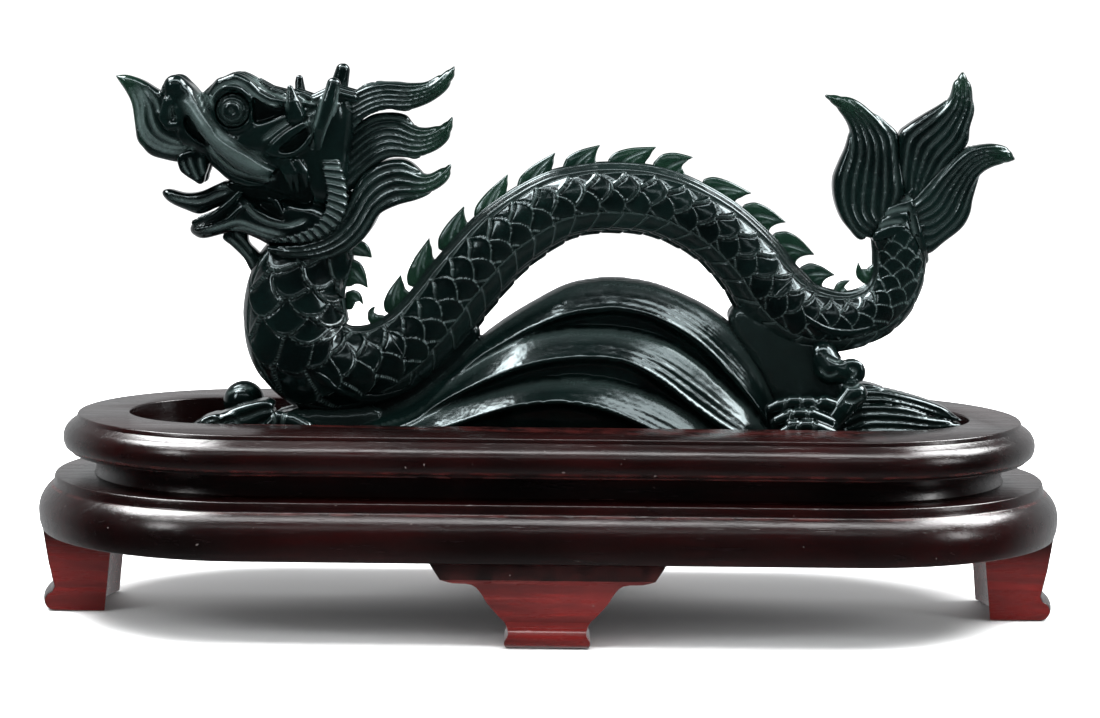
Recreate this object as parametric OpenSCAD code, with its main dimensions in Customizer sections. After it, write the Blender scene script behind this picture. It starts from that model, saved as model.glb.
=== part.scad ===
// Dragon carved from one piece of dark green jade, set loose in the well of an
// oval wooden stand with four feet. Millimetres, +Z up. The origin is on the
// floor under the middle of the stand; the dragon's head looks along -X.

/* [Stand] */
// Half the distance between the centres of the stand's two round ends
end_run = 75.9; // [70:0.1:82]
// Radius of the flat top at the round ends
top_r = 47.2; // [45:0.1:49]
// Height of the flat top above the floor
stand_h = 51; // [49:0.1:54]
// Thickness of the rim moulding
rim_t = 9.8; // [9:0.1:11]
// Height of the recessed waist below the rim
waist_h = 5.9; // [4:0.1:7]
// Radius of the waist at the round ends
waist_r = 42.5; // [40:0.1:45]
// Radius of the widest part of the plinth at the round ends
plinth_r = 57.4; // [56:0.1:58]
// Height of the feet below the plinth
foot_h = 21; // [19:0.1:22]
// Width of each end foot, across the stand
foot_w = 28; // [20:1:34]

/* [Well] */
// Half length of the well opening
well_half_length = 109.8; // [108:0.1:112]
// Half width of the well opening
well_half_width = 26.2; // [25.8:0.1:30]
// Depth of the well below the flat top
well_depth = 8; // [6:0.1:9]

/* [Dragon] */
// Number of flats round the body
body_sides = 16; // [12:2:20]
// Width of the body across, as a share of its height in side view
body_width = 1.0; // [0.9:0.05:1.1]
// Half width of the skull
skull_half = 13; // [11:0.5:14]
// Thickness of the fins along the back
fin_t = 3; // [2:0.5:4]
// Thickness of the flame locks of the mane
mane_t = 14; // [10:1:16]
// Thickness of the tail's flame lobes
tail_t = 9; // [6:1:12]

/* [Hidden] */

$fn = 64;
lacquer = "#2b0e0b";
cut_wood = "#5a1a14";
jade = "#17352c";
jade_thin = "#2f5a3c";

waist_top = stand_h - rim_t;
plinth_top = waist_top - waist_h;
floor_z = stand_h - well_depth;

// ---- helpers -------------------------------------------------------------

// Points on an arc in the profile plane, from angle a0 to a1
function arc(c, r, a0, a1, n = 6) =
    [for (i = [0 : n]) let (a = a0 + (a1 - a0) * i / n)
        c + r * [cos(a), sin(a)]];

// One point on the smooth curve through p1 and p2
function catmull(p0, p1, p2, p3, t) =
    0.5 * (2 * p1 + (p2 - p0) * t + (2 * p0 - 5 * p1 + 4 * p2 - p3) * t * t
        + (3 * p1 - p0 - 3 * p2 + p3) * t * t * t);

// A smooth closed outline through the points, n steps between each two
function closed(p, n = 3) = let (m = len(p))
    [for (i = [0 : m - 1], k = [0 : n - 1])
        catmull(p[(i + m - 1) % m], p[i], p[(i + 1) % m], p[(i + 2) % m], k / n)];

// A smooth open curve through the points from index a to index b
function open(p, a, b, n = 2) = let (m = len(p) - 1)
    [for (i = [a : b - 1], k = [0 : n - 1])
        catmull(p[max(i - 1, 0)], p[i], p[i + 1], p[min(i + 2, m)], k / n),
     p[b]];

// A side-view outline given thickness t across the stand, centred at y
module slab(outline, t, y = 0) {
    translate([0, y + t / 2, 0])
        rotate([90, 0, 0])
            linear_extrude(t)
                polygon(closed(outline));
}

// The same, on both sides of the head
module pair(y) {
    translate([0, -y, 0]) children();
    mirror([0, 1, 0]) translate([0, -y, 0]) children();
}

// A profile of (radius, height) points run round the stand's oval
module oval_run(profile, run = end_run) {
    mirrored = [for (i = [len(profile) - 1 : -1 : 0])
        [-profile[i].x, profile[i].y]];
    hollow = min([for (p = profile) p.x]) > 0;
    union() {
        translate([run, 0, 0])
            rotate([0, 0, -90])
                rotate_extrude(angle = 180)
                    polygon(profile);
        translate([-run, 0, 0])
            rotate([0, 0, 90])
                rotate_extrude(angle = 180)
                    polygon(profile);
        rotate([90, 0, 90])
            linear_extrude(2 * run, center = true) {
                polygon(hollow ? profile : concat(profile, mirrored));
                if (hollow) polygon(mirrored);
            }
    }
}

// A rounded tube along the body's rings from number a to number b
module body_tube(a, b) {
    m = body_sides;
    last = len(body_rings) - 1;
    points = [for (i = [a : b])
        let (d = body_rings[min(i + 1, last)] - body_rings[max(i - 1, 0)],
             u = [d.x, d.y] / norm([d.x, d.y]), r = body_rings[i].z)
        for (k = [0 : m - 1]) let (w = 360 * k / m)
            [body_rings[i].x - u.y * r * cos(w),
             r * body_width * sin(w),
             body_rings[i].y + u.x * r * cos(w)]];
    sides = [for (i = [0 : b - a - 1], k = [0 : m - 1])
        let (k2 = (k + 1) % m)
        each [[i * m + k, i * m + k2, (i + 1) * m + k2],
              [i * m + k, (i + 1) * m + k2, (i + 1) * m + k]]];
    caps = [[for (k = [m - 1 : -1 : 0]) k],
            [for (k = [0 : m - 1]) (b - a) * m + k]];
    polyhedron(points, concat(sides, caps), convexity = 6);
}

// A blunt tapering horn from p to q
module horn(p, q, r1, r2) {
    d = q - p;
    translate(p)
        rotate([0, acos(d.z / norm(d)), atan2(d.y, d.x)]) {
            cylinder(norm(d), r1, r2, $fn = 32);
            translate([0, 0, norm(d)]) sphere(r2, $fn = 32);
        }
}

// A rounded limb from p to q
module limb(p, q, r1, r2) {
    hull() {
        translate(p) sphere(r1, $fn = 16);
        translate(q) sphere(r2, $fn = 16);
    }
}

// The plan of the well's opening, drawn in by a clearance
module well_plan(gap = 0) {
    run = well_half_length - well_half_width;
    square([2 * run, 2 * (well_half_width - gap)], center = true);
    for (s = [-1, 1]) translate([s * run, 0]) circle(well_half_width - gap);
}

// ---- stand ---------------------------------------------------------------

// Flat top, a small step, a rounded bead and a narrow fillet under it
rim_profile = concat(
    [[top_r, stand_h], [top_r + 0.3, stand_h - 1.2]],
    arc([top_r - 0.9, stand_h - 6.2], 4.7, 62, -36, 8),
    [[top_r + 2, waist_top + 1], [top_r + 2, waist_top]]
);

module rim_moulding() {
    color(lacquer)
        difference() {
            oval_run(concat([[0, stand_h]], rim_profile, [[0, waist_top]]));
            translate([0, 0, waist_top - 1])
                linear_extrude(rim_t + 2) well_plan();
        }
}

module well_floor() {
    color(lacquer)
        translate([0, 0, waist_top])
            linear_extrude(floor_z - waist_top) well_plan();
}

module waist_band() {
    color(lacquer)
        oval_run([[0, waist_top], [waist_r + 0.8, waist_top],
            [waist_r, waist_top - 1.5], [waist_r, plinth_top + 1],
            [waist_r + 0.6, plinth_top], [0, plinth_top]]);
}

shelf_r = plinth_r - 4.3;
plinth_profile = concat(
    [[0, plinth_top], [shelf_r, plinth_top], [shelf_r + 0.3, plinth_top - 1.3]],
    arc([plinth_r - 8.2, plinth_top - 9.4], 8.2, 58, 0, 6),
    [[plinth_r - 0.2, foot_h + 2.2], [plinth_r - 0.9, foot_h], [0, foot_h]]
);

module plinth_moulding() {
    color(lacquer) oval_run(plinth_profile);
}

// Side profile of every foot: it draws in to an ankle and kicks out to a toe
foot_profile = concat(
    [[plinth_r - 18, foot_h], [plinth_r - 0.9, foot_h],
     [plinth_r - 2.2, foot_h * 0.6], [plinth_r - 3.6, foot_h * 0.3]],
    arc([plinth_r - 3.6, 2.5], 2.5, 75, -90, 6),
    [[plinth_r - 16, 0]]
);

module end_foot() {
    intersection() {
        oval_run(foot_profile);
        translate([-end_run - plinth_r, -foot_w / 2, -1])
            cube([plinth_r, foot_w, foot_h + 2]);
    }
}

module left_end_foot() {
    color(cut_wood) end_foot();
}

module right_end_foot() {
    color(cut_wood) mirror([1, 0, 0]) end_foot();
}

// Front view of a centre foot: ogee brackets running down to a narrow foot
bracket = [[29, foot_h], [26.5, 17], [23.5, 16.2], [18.6, 15.8], [16.2, 13.4],
    [14.8, 11], [12, 7.7], [10.4, 6], [9.6, 3.6], [10.6, 1.6], [10.2, 0]];

module centre_foot() {
    outline = concat(bracket,
        [for (i = [len(bracket) - 1 : -1 : 0]) [-bracket[i].x, bracket[i].y]]);
    intersection() {
        oval_run(foot_profile);
        rotate([90, 0, 0]) linear_extrude(plinth_r + 5) polygon(outline);
    }
}

module front_centre_foot() {
    color(cut_wood) centre_foot();
}

module back_centre_foot() {
    color(cut_wood) mirror([0, 1, 0]) centre_foot();
}

// ---- base and waves --------------------------------------------------------
// Each "form" is a region's whole shape; its node is the form with the regions
// that it grows out of cut away, so that they meet face to face.

rock_z = 4.6;
base_top = floor_z + rock_z;
well_gap = 0.5;
base_outline = [[-95, -14], [-84, -22], [-60, -23.5], [0, -24], [56, -23.5],
    [84, -19], [101, -9], [105, 0], [101, 9], [84, 19], [56, 23.5], [0, 24],
    [-60, 23.5], [-84, 22], [-93, 12], [-91, 0]];

module rock_base() {
    color(jade)
        translate([0, 0, floor_z])
            linear_extrude(rock_z)
                polygon(closed(base_outline));
}

// Keeps what stands above the base and inside the well's opening
module on_base() {
    intersection() {
        children();
        translate([0, 0, base_top])
            linear_extrude(stand_h) well_plan(well_gap);
    }
}

// Lumps of rock that carry the two bends of the body
module front_rock() {
    color(jade)
        difference() {
            on_base()
                slab([[-73, 45], [-71, 52], [-61, 53.5], [-52, 54.5],
                    [-46, 54], [-43, 51.5], [-42.5, 45]], 24);
            front_body();
        }
}

rear_rock_t = 20;

module rear_rock_form() {
    on_base()
        slab([[62.5, 45], [61.8, 53], [60, 60.5], [57.6, 66.4],
            [58.4, 70], [66, 70], [73, 69], [75, 60], [77, 45]], rear_rock_t);
}

module rear_rock() {
    color(jade)
        difference() {
            rear_rock_form();
            rear_body();
        }
}

// Crest heights of the three tiers of waves, as [x, z] along each crest
back_crest = [[-35, 56], [-27, 62.5], [-19, 70.5], [-12, 76], [-4, 81],
    [4, 85.2], [12, 86.9], [18, 87.1], [26, 86], [34, 83.2], [42, 79.2],
    [48, 74.5], [54, 66.5], [58, 59], [61, 50]];
middle_crest = [[-33, 58], [-24, 65.5], [-8, 71.8], [0, 73.8], [8, 74.6],
    [16, 74.4], [24, 73.2], [32, 70.4], [40, 65], [46, 59.5], [52, 54], [56, 49]];
front_crest = [[-40, 50], [-30, 54], [-16, 58.3], [-6, 61], [2, 62],
    [8, 62.2], [16, 61.4], [26, 58.4], [34, 54.6], [41, 50]];

module tier(crest, half_depth) {
    last = len(crest) - 1;
    outline = concat([[crest[0].x, base_top]], open(crest, 0, last),
        [[crest[last].x, base_top]]);
    translate([0, half_depth, 0])
        rotate([90, 0, 0])
            linear_extrude(2 * half_depth) polygon(outline);
}

module wave_mound() {
    color(jade)
        union() {
            tier(back_crest, 8);
            tier(middle_crest, 15);
            tier(front_crest, 23);
        }
}

module left_wave() {
    color(jade)
        difference() {
            on_base()
                slab([[-96, 45.5], [-95, 48.6], [-90, 50.2], [-84, 52.4],
                    [-79, 54.4], [-76.6, 54.8], [-75.6, 51], [-75.6, 46]],
                    11, -14);
            front_body();
        }
}

module right_wave_form() {
    on_base()
        slab([[76, 45], [77, 54], [81, 60.2], [88, 59.2], [96, 57.2],
            [102, 55], [106, 52], [108.6, 50.3], [104, 47.5], [96, 45.5]], 22);
}

module right_wave() {
    color(jade)
        difference() {
            right_wave_form();
            rear_rock_form();
        }
}

module pearl() {
    color(jade)
        on_base()
            translate([-80.3, 3, 53]) sphere(5.6);
}

// ---- body ------------------------------------------------------------------

// Middle line of the body from the head to the tail: [x, z, half height]
spine = [
    [-65.2, 91.5, 12.3], [-66.2, 84, 13], [-66.7, 76, 13.5],
    [-65.2, 69, 13.6], [-60.5, 63.6, 12.8], [-53, 61.9, 11.5],
    [-45, 63.4, 10.5], [-38, 67.2, 10.1], [-32.5, 72, 10], [-27, 78.6, 9.9],
    [-22.2, 85, 9.8], [-12.3, 96, 9.7], [-0.5, 104.2, 9.4], [8, 106.9, 9.2],
    [17, 107.6, 9.2], [26, 106.8, 9.1], [34, 104.1, 9], [43.2, 98.8, 9],
    [51.3, 91, 9.4], [57, 83.4, 9.9], [63.5, 77.8, 9.7], [72, 75.8, 8.5],
    [80, 76.6, 7.5], [86.8, 80.4, 6.9], [90.4, 87, 6.7], [90.9, 94, 6.8],
    [89.6, 101, 6.2], [88.6, 106, 4.6]
];
ring_steps = 2;
body_rings = open(spine, 0, len(spine) - 1, ring_steps);
arch_start = 7 * ring_steps;
arch_end = 19 * ring_steps;

module front_body() {
    color(jade) body_tube(0, arch_start);
}

module arch_body() {
    color(jade) body_tube(arch_start, arch_end);
}

module rear_body() {
    color(jade) body_tube(arch_end, len(body_rings) - 1);
}

// Leaf-shaped fins along the back, each leaning towards the tail:
// [root start x, z, root end x, z, tip x, z]
fins = [
    [-52.5, 96, -52, 92, -46.6, 91.4], [-52.4, 91, -51.8, 84, -47.6, 83.3],
    [-52, 83, -51.6, 78, -48.8, 79], [-47.5, 75, -43.5, 76.5, -45.6, 79],
    [-42.5, 77, -37.4, 83, -39, 87.4], [-36.5, 84, -30.6, 91.5, -31.7, 97],
    [-28.7, 93.5, -21.2, 100.8, -22.6, 105.5],
    [-19.6, 102, -11.6, 108.6, -11.2, 114],
    [-8.6, 109.6, 0, 114.2, 1, 119.6], [3, 114.8, 11.8, 116.6, 12.6, 121.6],
    [14.5, 116.4, 24, 116.4, 27.2, 121.2], [26, 116, 36, 112.8, 36.8, 118.6],
    [39, 112, 47.6, 107, 52.2, 109.3], [49.4, 105.6, 56.6, 99, 61.2, 101.8],
    [57.4, 98.4, 63.6, 90.8, 68.8, 93.4], [64.6, 89.6, 70.8, 85, 74.3, 88.2],
    [73.6, 83.4, 79.4, 83, 78.2, 87], [82, 86, 84, 91.5, 80, 91.8]
];

module fin(root, heel, tip) {
    along = (heel - root) / norm(heel - root);
    up = [-along.y, along.x];
    high = max((tip - root) * up, 1);
    translate([0, fin_t / 2, 0])
        rotate([90, 0, 0])
            linear_extrude(fin_t)
                polygon([root - up * 2, root, root + along + up * high * 0.45,
                    (root + tip) / 2 + up * high * 0.3, tip,
                    (tip + heel * 2) / 3 - along * 0.6, heel, heel - up * 2]);
}

module back_fins() {
    color(jade_thin)
        difference() {
            for (f = fins) fin([f[0], f[1]], [f[2], f[3]], [f[4], f[5]]);
            front_body();
            arch_body();
            rear_body();
            mane_lower_form();
        }
}

// ---- tail ------------------------------------------------------------------

module tail_front_lobe() {
    color(jade)
        difference() {
            slab([[70.4, 135], [74, 135], [78.5, 134], [83, 131.3],
                [86.5, 128.3], [89.5, 125.2], [90.5, 118], [92, 112],
                [86.5, 105], [84, 99], [81.5, 96.6], [78, 99.7], [75, 103.5],
                [73.2, 108.5], [72.9, 113.5], [74.2, 117.5], [76, 122],
                [76.4, 126], [75.2, 129.5], [72.7, 132.4]], tail_t);
            rear_body();
        }
}

module tail_top_lobe() {
    color(jade)
        difference() {
            slab([[105.9, 141.4], [103.8, 138.8], [102.6, 135.8],
                [100.5, 133.2], [96.5, 130.6], [92, 127.6], [89.5, 125.2],
                [90.5, 118], [92, 112], [97, 111], [103, 118],
                [108.1, 123.3], [108.2, 127], [109.4, 131.5], [109, 136],
                [107.4, 139.4]], tail_t);
            tail_front_lobe();
            tail_rear_lobe();
        }
}

module tail_rear_lobe() {
    color(jade)
        difference() {
            slab([[120.1, 118.9], [118.4, 121.7], [115, 123], [111, 123.1],
                [107.6, 122.9], [103, 118], [97, 111], [92.5, 107],
                [95.5, 99], [98, 94.3], [102, 97.3], [106.5, 101],
                [108.6, 104.8], [109.4, 109], [111.3, 114], [114.5, 116.8],
                [117.5, 117.8]], tail_t);
            rear_body();
        }
}

// ---- head ------------------------------------------------------------------

eye_r = 4.6;

skull_outline = [[-101, 134.3], [-99.3, 137], [-97, 138.3], [-94, 136.9],
    [-90, 134.2], [-87.5, 135.4], [-84.5, 138.8], [-81, 140.2], [-77, 138.9],
    [-73.5, 136.1], [-69, 134.8], [-63, 134.2], [-58, 134.6], [-53, 134.4],
    [-51, 128], [-52, 118], [-53, 109], [-58, 104.5], [-66, 106.8],
    [-73, 109.3], [-80, 110.3], [-84, 112], [-88, 115.4], [-92, 117.4],
    [-97, 120], [-100.6, 127]];

// Seen from above the skull is an oval with blunt ends
module skull_form() {
    half_length = 34;
    intersection() {
        slab(skull_outline, 2 * skull_half + 1);
        translate([-72, 0, 90])
            linear_extrude(60)
                polygon([for (w = [7.5 : 15 : 360])
                    [half_length * cos(w), skull_half * sin(w)]]);
    }
}

// The eyeballs, drawn out by a clearance to cut their sockets
module eye_form(gap = 0) {
    pair(9.5) translate([-82.4, 0, 130]) sphere(eye_r + gap);
}

module skull() {
    color(jade)
        difference() {
            skull_form();
            eye_form(0.1);
        }
}

module snout_flame_form() {
    slab([[-113.2, 138.2], [-109.5, 138.4], [-105, 136.6], [-101, 134.3],
        [-97, 131], [-93, 124], [-91, 119.5], [-96, 116], [-101, 116.8],
        [-105, 118.6], [-107.4, 122], [-108.2, 126.5], [-109.3, 131.5],
        [-111.5, 135.3]], 10);
}

module snout_flame() {
    color(jade_thin)
        difference() {
            snout_flame_form();
            skull_form();
        }
}

module lower_jaw_form() {
    slab([[-93.8, 98.3], [-92.5, 96.9], [-90, 96.3], [-85, 97.6],
        [-81, 98.3], [-76, 96.6], [-72, 94.8], [-66, 94.3], [-60, 96.5],
        [-56, 101], [-58, 104.5], [-66, 106.8], [-72, 106], [-78, 106.8],
        [-81, 108.3], [-85, 104.7], [-89, 101.8], [-93, 100.2]], 18);
}

module lower_jaw() {
    color(jade)
        difference() {
            lower_jaw_form();
            skull_form();
        }
}

module tongue() {
    color(jade)
        difference() {
            slab([[-101.3, 107.9], [-99.5, 108.9], [-95, 107.9], [-91, 108.4],
                [-87, 110.2], [-84, 111.2], [-80, 109.3], [-74, 107],
                [-80, 106], [-86, 104.6], [-91, 102.6], [-95, 103.6],
                [-99.5, 105.6]], 9);
            lower_jaw_form();
            skull_form();
        }
}

// A front pair under the lip and a back pair at the corner of the mouth
module teeth() {
    color(jade)
        difference() {
            pair(4.5) {
                slab([[-96.3, 116.4], [-96.1, 114], [-94, 112.2],
                    [-91.3, 110.5], [-90, 111], [-89.2, 113.2], [-88.6, 116],
                    [-92, 118.5]], 4);
                translate([0, -4, 0])
                    slab([[-67.5, 116], [-66.4, 112], [-65.2, 108.4],
                        [-64, 108.4], [-63, 112.5], [-62.6, 116]], 4);
            }
            skull_form();
            snout_flame_form();
        }
}

module eyes() {
    color(jade) eye_form();
}

module brow_horns() {
    color(jade)
        difference() {
            pair(11) horn([-67.5, 3, 128], [-67, 0, 135], 3, 2);
            skull_form();
        }
}

module main_horns_form() {
    pair(12.5) horn([-60, 1, 120], [-56, 0, 136.5], 3.2, 2.5);
}

module main_horns() {
    color(jade)
        difference() {
            main_horns_form();
            skull_form();
        }
}

module ears() {
    color(jade)
        difference() {
            pair(13)
                slab([[-71.5, 118], [-68.5, 122.5], [-65, 125.2],
                    [-62.6, 125.4], [-62.6, 121.5], [-65.6, 118.2]], 5);
            skull_form();
            main_horns_form();
        }
}

module mane_top_form() {
    slab([[-56, 134.2], [-52, 135.2], [-48, 137.2], [-43, 138.1],
        [-37, 137.5], [-33, 137.4], [-29.5, 139.2], [-25.4, 141.4],
        [-25.6, 138.5], [-27.5, 135.2], [-31, 132.3], [-36, 129.8],
        [-38, 128.6], [-44, 128.4], [-50, 126.5], [-55, 122]], mane_t);
}

module mane_top_lock() {
    color(jade)
        difference() {
            mane_top_form();
            skull_form();
        }
}

module mane_middle_form() {
    slab([[-50, 126.5], [-44, 128.4], [-38, 128.6], [-36, 126.8],
        [-33, 125.8], [-30, 126], [-27.8, 127], [-26, 128.4],
        [-25.9, 125.5], [-27.2, 122], [-30.5, 119], [-34.4, 117.4],
        [-37, 117], [-43, 116], [-49, 112.5], [-54, 109], [-55, 116]], mane_t);
}

module mane_middle_lock() {
    color(jade)
        difference() {
            mane_middle_form();
            mane_top_form();
            skull_form();
        }
}

module mane_lower_form() {
    slab([[-49, 112.5], [-43, 116], [-37, 117], [-35.3, 115], [-33, 114],
        [-30, 114.5], [-26.2, 116.5], [-26.1, 114], [-27.5, 111],
        [-30.5, 108.5], [-35, 106.8], [-40, 105.5], [-44, 103.2],
        [-46.5, 99.5], [-49, 96.3], [-53, 93.3], [-58, 91.4], [-63, 91],
        [-68, 91.8], [-72.5, 94], [-66, 95.4], [-58, 99], [-54, 106]],
        mane_t + 12);
}

module mane_lower_lock() {
    color(jade)
        difference() {
            mane_lower_form();
            mane_middle_form();
            skull_form();
            lower_jaw_form();
            front_body();
        }
}

// The ribbed gill plates, one on each side of the mane
module gill_collar() {
    color(jade)
        difference() {
            slab([[-53, 119], [-51, 112], [-51.5, 105], [-54, 99.5],
                [-59, 96], [-66, 94.3], [-70.5, 95.4], [-66, 97.5],
                [-61, 99], [-57.5, 102.5], [-56, 108], [-57, 114],
                [-58, 118]], 29);
            translate([-80, -mane_t / 2 - 6, 90]) cube([40, mane_t + 12, 40]);
        }
}

module beard() {
    color(jade)
        difference() {
            slab([[-85.3, 97], [-82, 99], [-79.3, 98.2], [-78.6, 95.3],
                [-76.3, 92.9], [-75.5, 90], [-76.5, 87.8], [-77.8, 87.5],
                [-80, 91.2], [-83, 94.2]], 6);
            lower_jaw_form();
            front_body();
        }
}

// ---- claws -----------------------------------------------------------------

module fore_claw() {
    color(jade)
        on_base() {
            limb([-64, -18, 49], [-68.5, -18.5, 50.5], 3, 2.2);
            limb([-68.5, -18.5, 50.5], [-71, -19, 49], 2.2, 1.4);
        }
}

module hind_leg_form() {
    limb([74, -12, 69], [77, -13, 65], 3.4, 3.6);
    limb([77, -13, 65], [77.5, -14, 59], 3.6, 3.8);
    limb([77.5, -14, 59], [73, -15, 52], 3.8, 3.6);
}

module hind_leg() {
    color(jade)
        difference() {
            hind_leg_form();
            translate([50, -rear_rock_t / 2, 40]) cube([60, 30, 40]);
        }
}

module hind_foot() {
    color(jade)
        difference() {
            on_base()
                for (i = [0 : 2]) {
                    y = -15.5 - 2.6 * i;
                    limb([69, y, 50 + i], [59, y, 52 + i / 2], 2.8, 2);
                    limb([59, y, 52 + i / 2], [57, y, 49], 2, 1.4);
                }
            hind_leg_form();
        }
}

rim_moulding();
well_floor();
waist_band();
plinth_moulding();
left_end_foot();
right_end_foot();
front_centre_foot();
back_centre_foot();
rock_base();
front_rock();
rear_rock();
wave_mound();
left_wave();
right_wave();
pearl();
front_body();
arch_body();
rear_body();
back_fins();
tail_front_lobe();
tail_top_lobe();
tail_rear_lobe();
skull();
snout_flame();
lower_jaw();
tongue();
teeth();
eyes();
brow_horns();
main_horns();
ears();
mane_top_lock();
mane_middle_lock();
mane_lower_lock();
gill_collar();
beard();
fore_claw();
hind_leg();
hind_foot();
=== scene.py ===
"""Dragon carved from dark green jade, loose in the well of a lacquered stand.

Every maker below works in millimetres and turns its mesh into metres at the end.
The stand is turned and cut with Blender's own tools. The dragon is carved stone,
with no flat or turned face on it, so its pieces are carved from blocks: signed
distances on a grid, that shapes are joined to and cut from, with flowing lines
cut into their sides. The scaly body is a tube whose skin is raised scale by scale.
"""

import math

import bpy
import numpy as np
from bpy.props import FloatProperty, FloatVectorProperty, IntProperty, PointerProperty
from mathutils import Matrix, Vector


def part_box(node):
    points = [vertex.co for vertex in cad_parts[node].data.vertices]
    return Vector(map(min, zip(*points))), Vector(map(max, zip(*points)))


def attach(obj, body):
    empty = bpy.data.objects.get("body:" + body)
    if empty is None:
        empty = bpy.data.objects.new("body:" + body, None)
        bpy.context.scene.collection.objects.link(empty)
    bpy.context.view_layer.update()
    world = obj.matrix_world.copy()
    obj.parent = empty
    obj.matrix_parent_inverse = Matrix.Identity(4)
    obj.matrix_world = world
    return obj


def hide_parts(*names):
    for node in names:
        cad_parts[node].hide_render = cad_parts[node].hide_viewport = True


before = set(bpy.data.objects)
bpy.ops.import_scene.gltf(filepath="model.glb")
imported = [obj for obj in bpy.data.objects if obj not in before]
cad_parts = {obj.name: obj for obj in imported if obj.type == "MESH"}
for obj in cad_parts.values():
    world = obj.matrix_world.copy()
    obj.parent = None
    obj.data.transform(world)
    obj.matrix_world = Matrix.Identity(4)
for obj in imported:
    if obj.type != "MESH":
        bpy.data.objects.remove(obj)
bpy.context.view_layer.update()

bl_info = {
    "name": "Jade Dragon on a Stand",
    "version": (1, 0, 0),
    "blender": (4, 5, 0),
    "location": "View3D > Sidebar > Jade Dragon",
    "description": "Builds the carved dragon, its lacquered stand and a studio stage",
    "category": "Object",
}

MM = 0.001
FAR = 40.0
# Share of a carved line's length over which it runs out, and dust in the valleys of a lock
LINE_FADE, LOCK_DUST = 0.12, 0.3


# ---- curves ---------------------------------------------------------------------


def spline(points, steps=6, loop=False):
    """A smooth curve through the points, as an array."""
    p = np.array(points, float)
    if loop:
        p = np.vstack([p[-1], p, p[0], p[1]])
    else:
        p = np.vstack([2 * p[0] - p[1], p, 2 * p[-1] - p[-2]])
    t = (np.arange(steps) / steps)[:, None]
    parts = []
    for a, b, c, d in zip(p[:-3], p[1:-2], p[2:-1], p[3:]):
        parts.append(0.5 * (2 * b + (c - a) * t + (2 * a - 5 * b + 4 * c - d) * t**2
                            + (3 * b - a - 3 * c + d) * t**3))
    curve = np.vstack(parts)
    return curve if loop else np.vstack([curve, p[-2]])


def path_distance(grid, path):
    """Each grid point's distance to a path, and how far along it the nearest point is."""
    length = np.r_[0, np.cumsum(np.linalg.norm(np.diff(path, axis=0), axis=1))]
    best = np.full(grid.shape[:2], 1e9)
    along = np.zeros(grid.shape[:2])
    for i, (a, b) in enumerate(zip(path[:-1], path[1:])):
        run = b - a
        t = np.clip((grid - a) @ run / max(run @ run, 1e-9), 0, 1)
        gap = np.hypot(grid[..., 0] - a[0] - t * run[0], grid[..., 1] - a[1] - t * run[1])
        closer = gap < best
        best = np.where(closer, gap, best)
        along = np.where(closer, length[i] + t * (length[i + 1] - length[i]), along)
    return best, along / length[-1]


def outline_distance(grid, path):
    """Distance to a closed outline, below zero inside it."""
    ring = np.vstack([path, path[0]])
    gap, _ = path_distance(grid, ring)
    inside = np.zeros(gap.shape, bool)
    for a, b in zip(ring[:-1], ring[1:]):
        spans = (a[1] > grid[..., 1]) != (b[1] > grid[..., 1])
        rise = b[1] - a[1] if b[1] != a[1] else 1e-9
        inside ^= spans & (grid[..., 0] < a[0] + (grid[..., 1] - a[1]) / rise * (b[0] - a[0]))
    return np.where(inside, -gap, gap)


# ---- blocks of stone ----------------------------------------------------------------


def blended(a, b, blend):
    """The lower of two distances, with the corner between them rounded off."""
    h = np.clip(0.5 + 0.5 * (a - b) / blend, 0, 1)
    return a * (1 - h) + b * h - blend * h * (1 - h)


def bell(gap, width):
    """1 on a line, falling off smoothly on both sides of it."""
    return np.exp(-(gap / width)**2)


def soften_grid(grid, reach):
    """Evens out a grid over a number of its cells."""
    grid = grid.copy()
    for _ in range(int(2 * reach * reach)):
        grid[1:-1] = 0.25 * (grid[:-2] + 2 * grid[1:-1] + grid[2:])
        grid[:, 1:-1] = 0.25 * (grid[:, :-2] + 2 * grid[:, 1:-1] + grid[:, 2:])
    return grid


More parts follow.
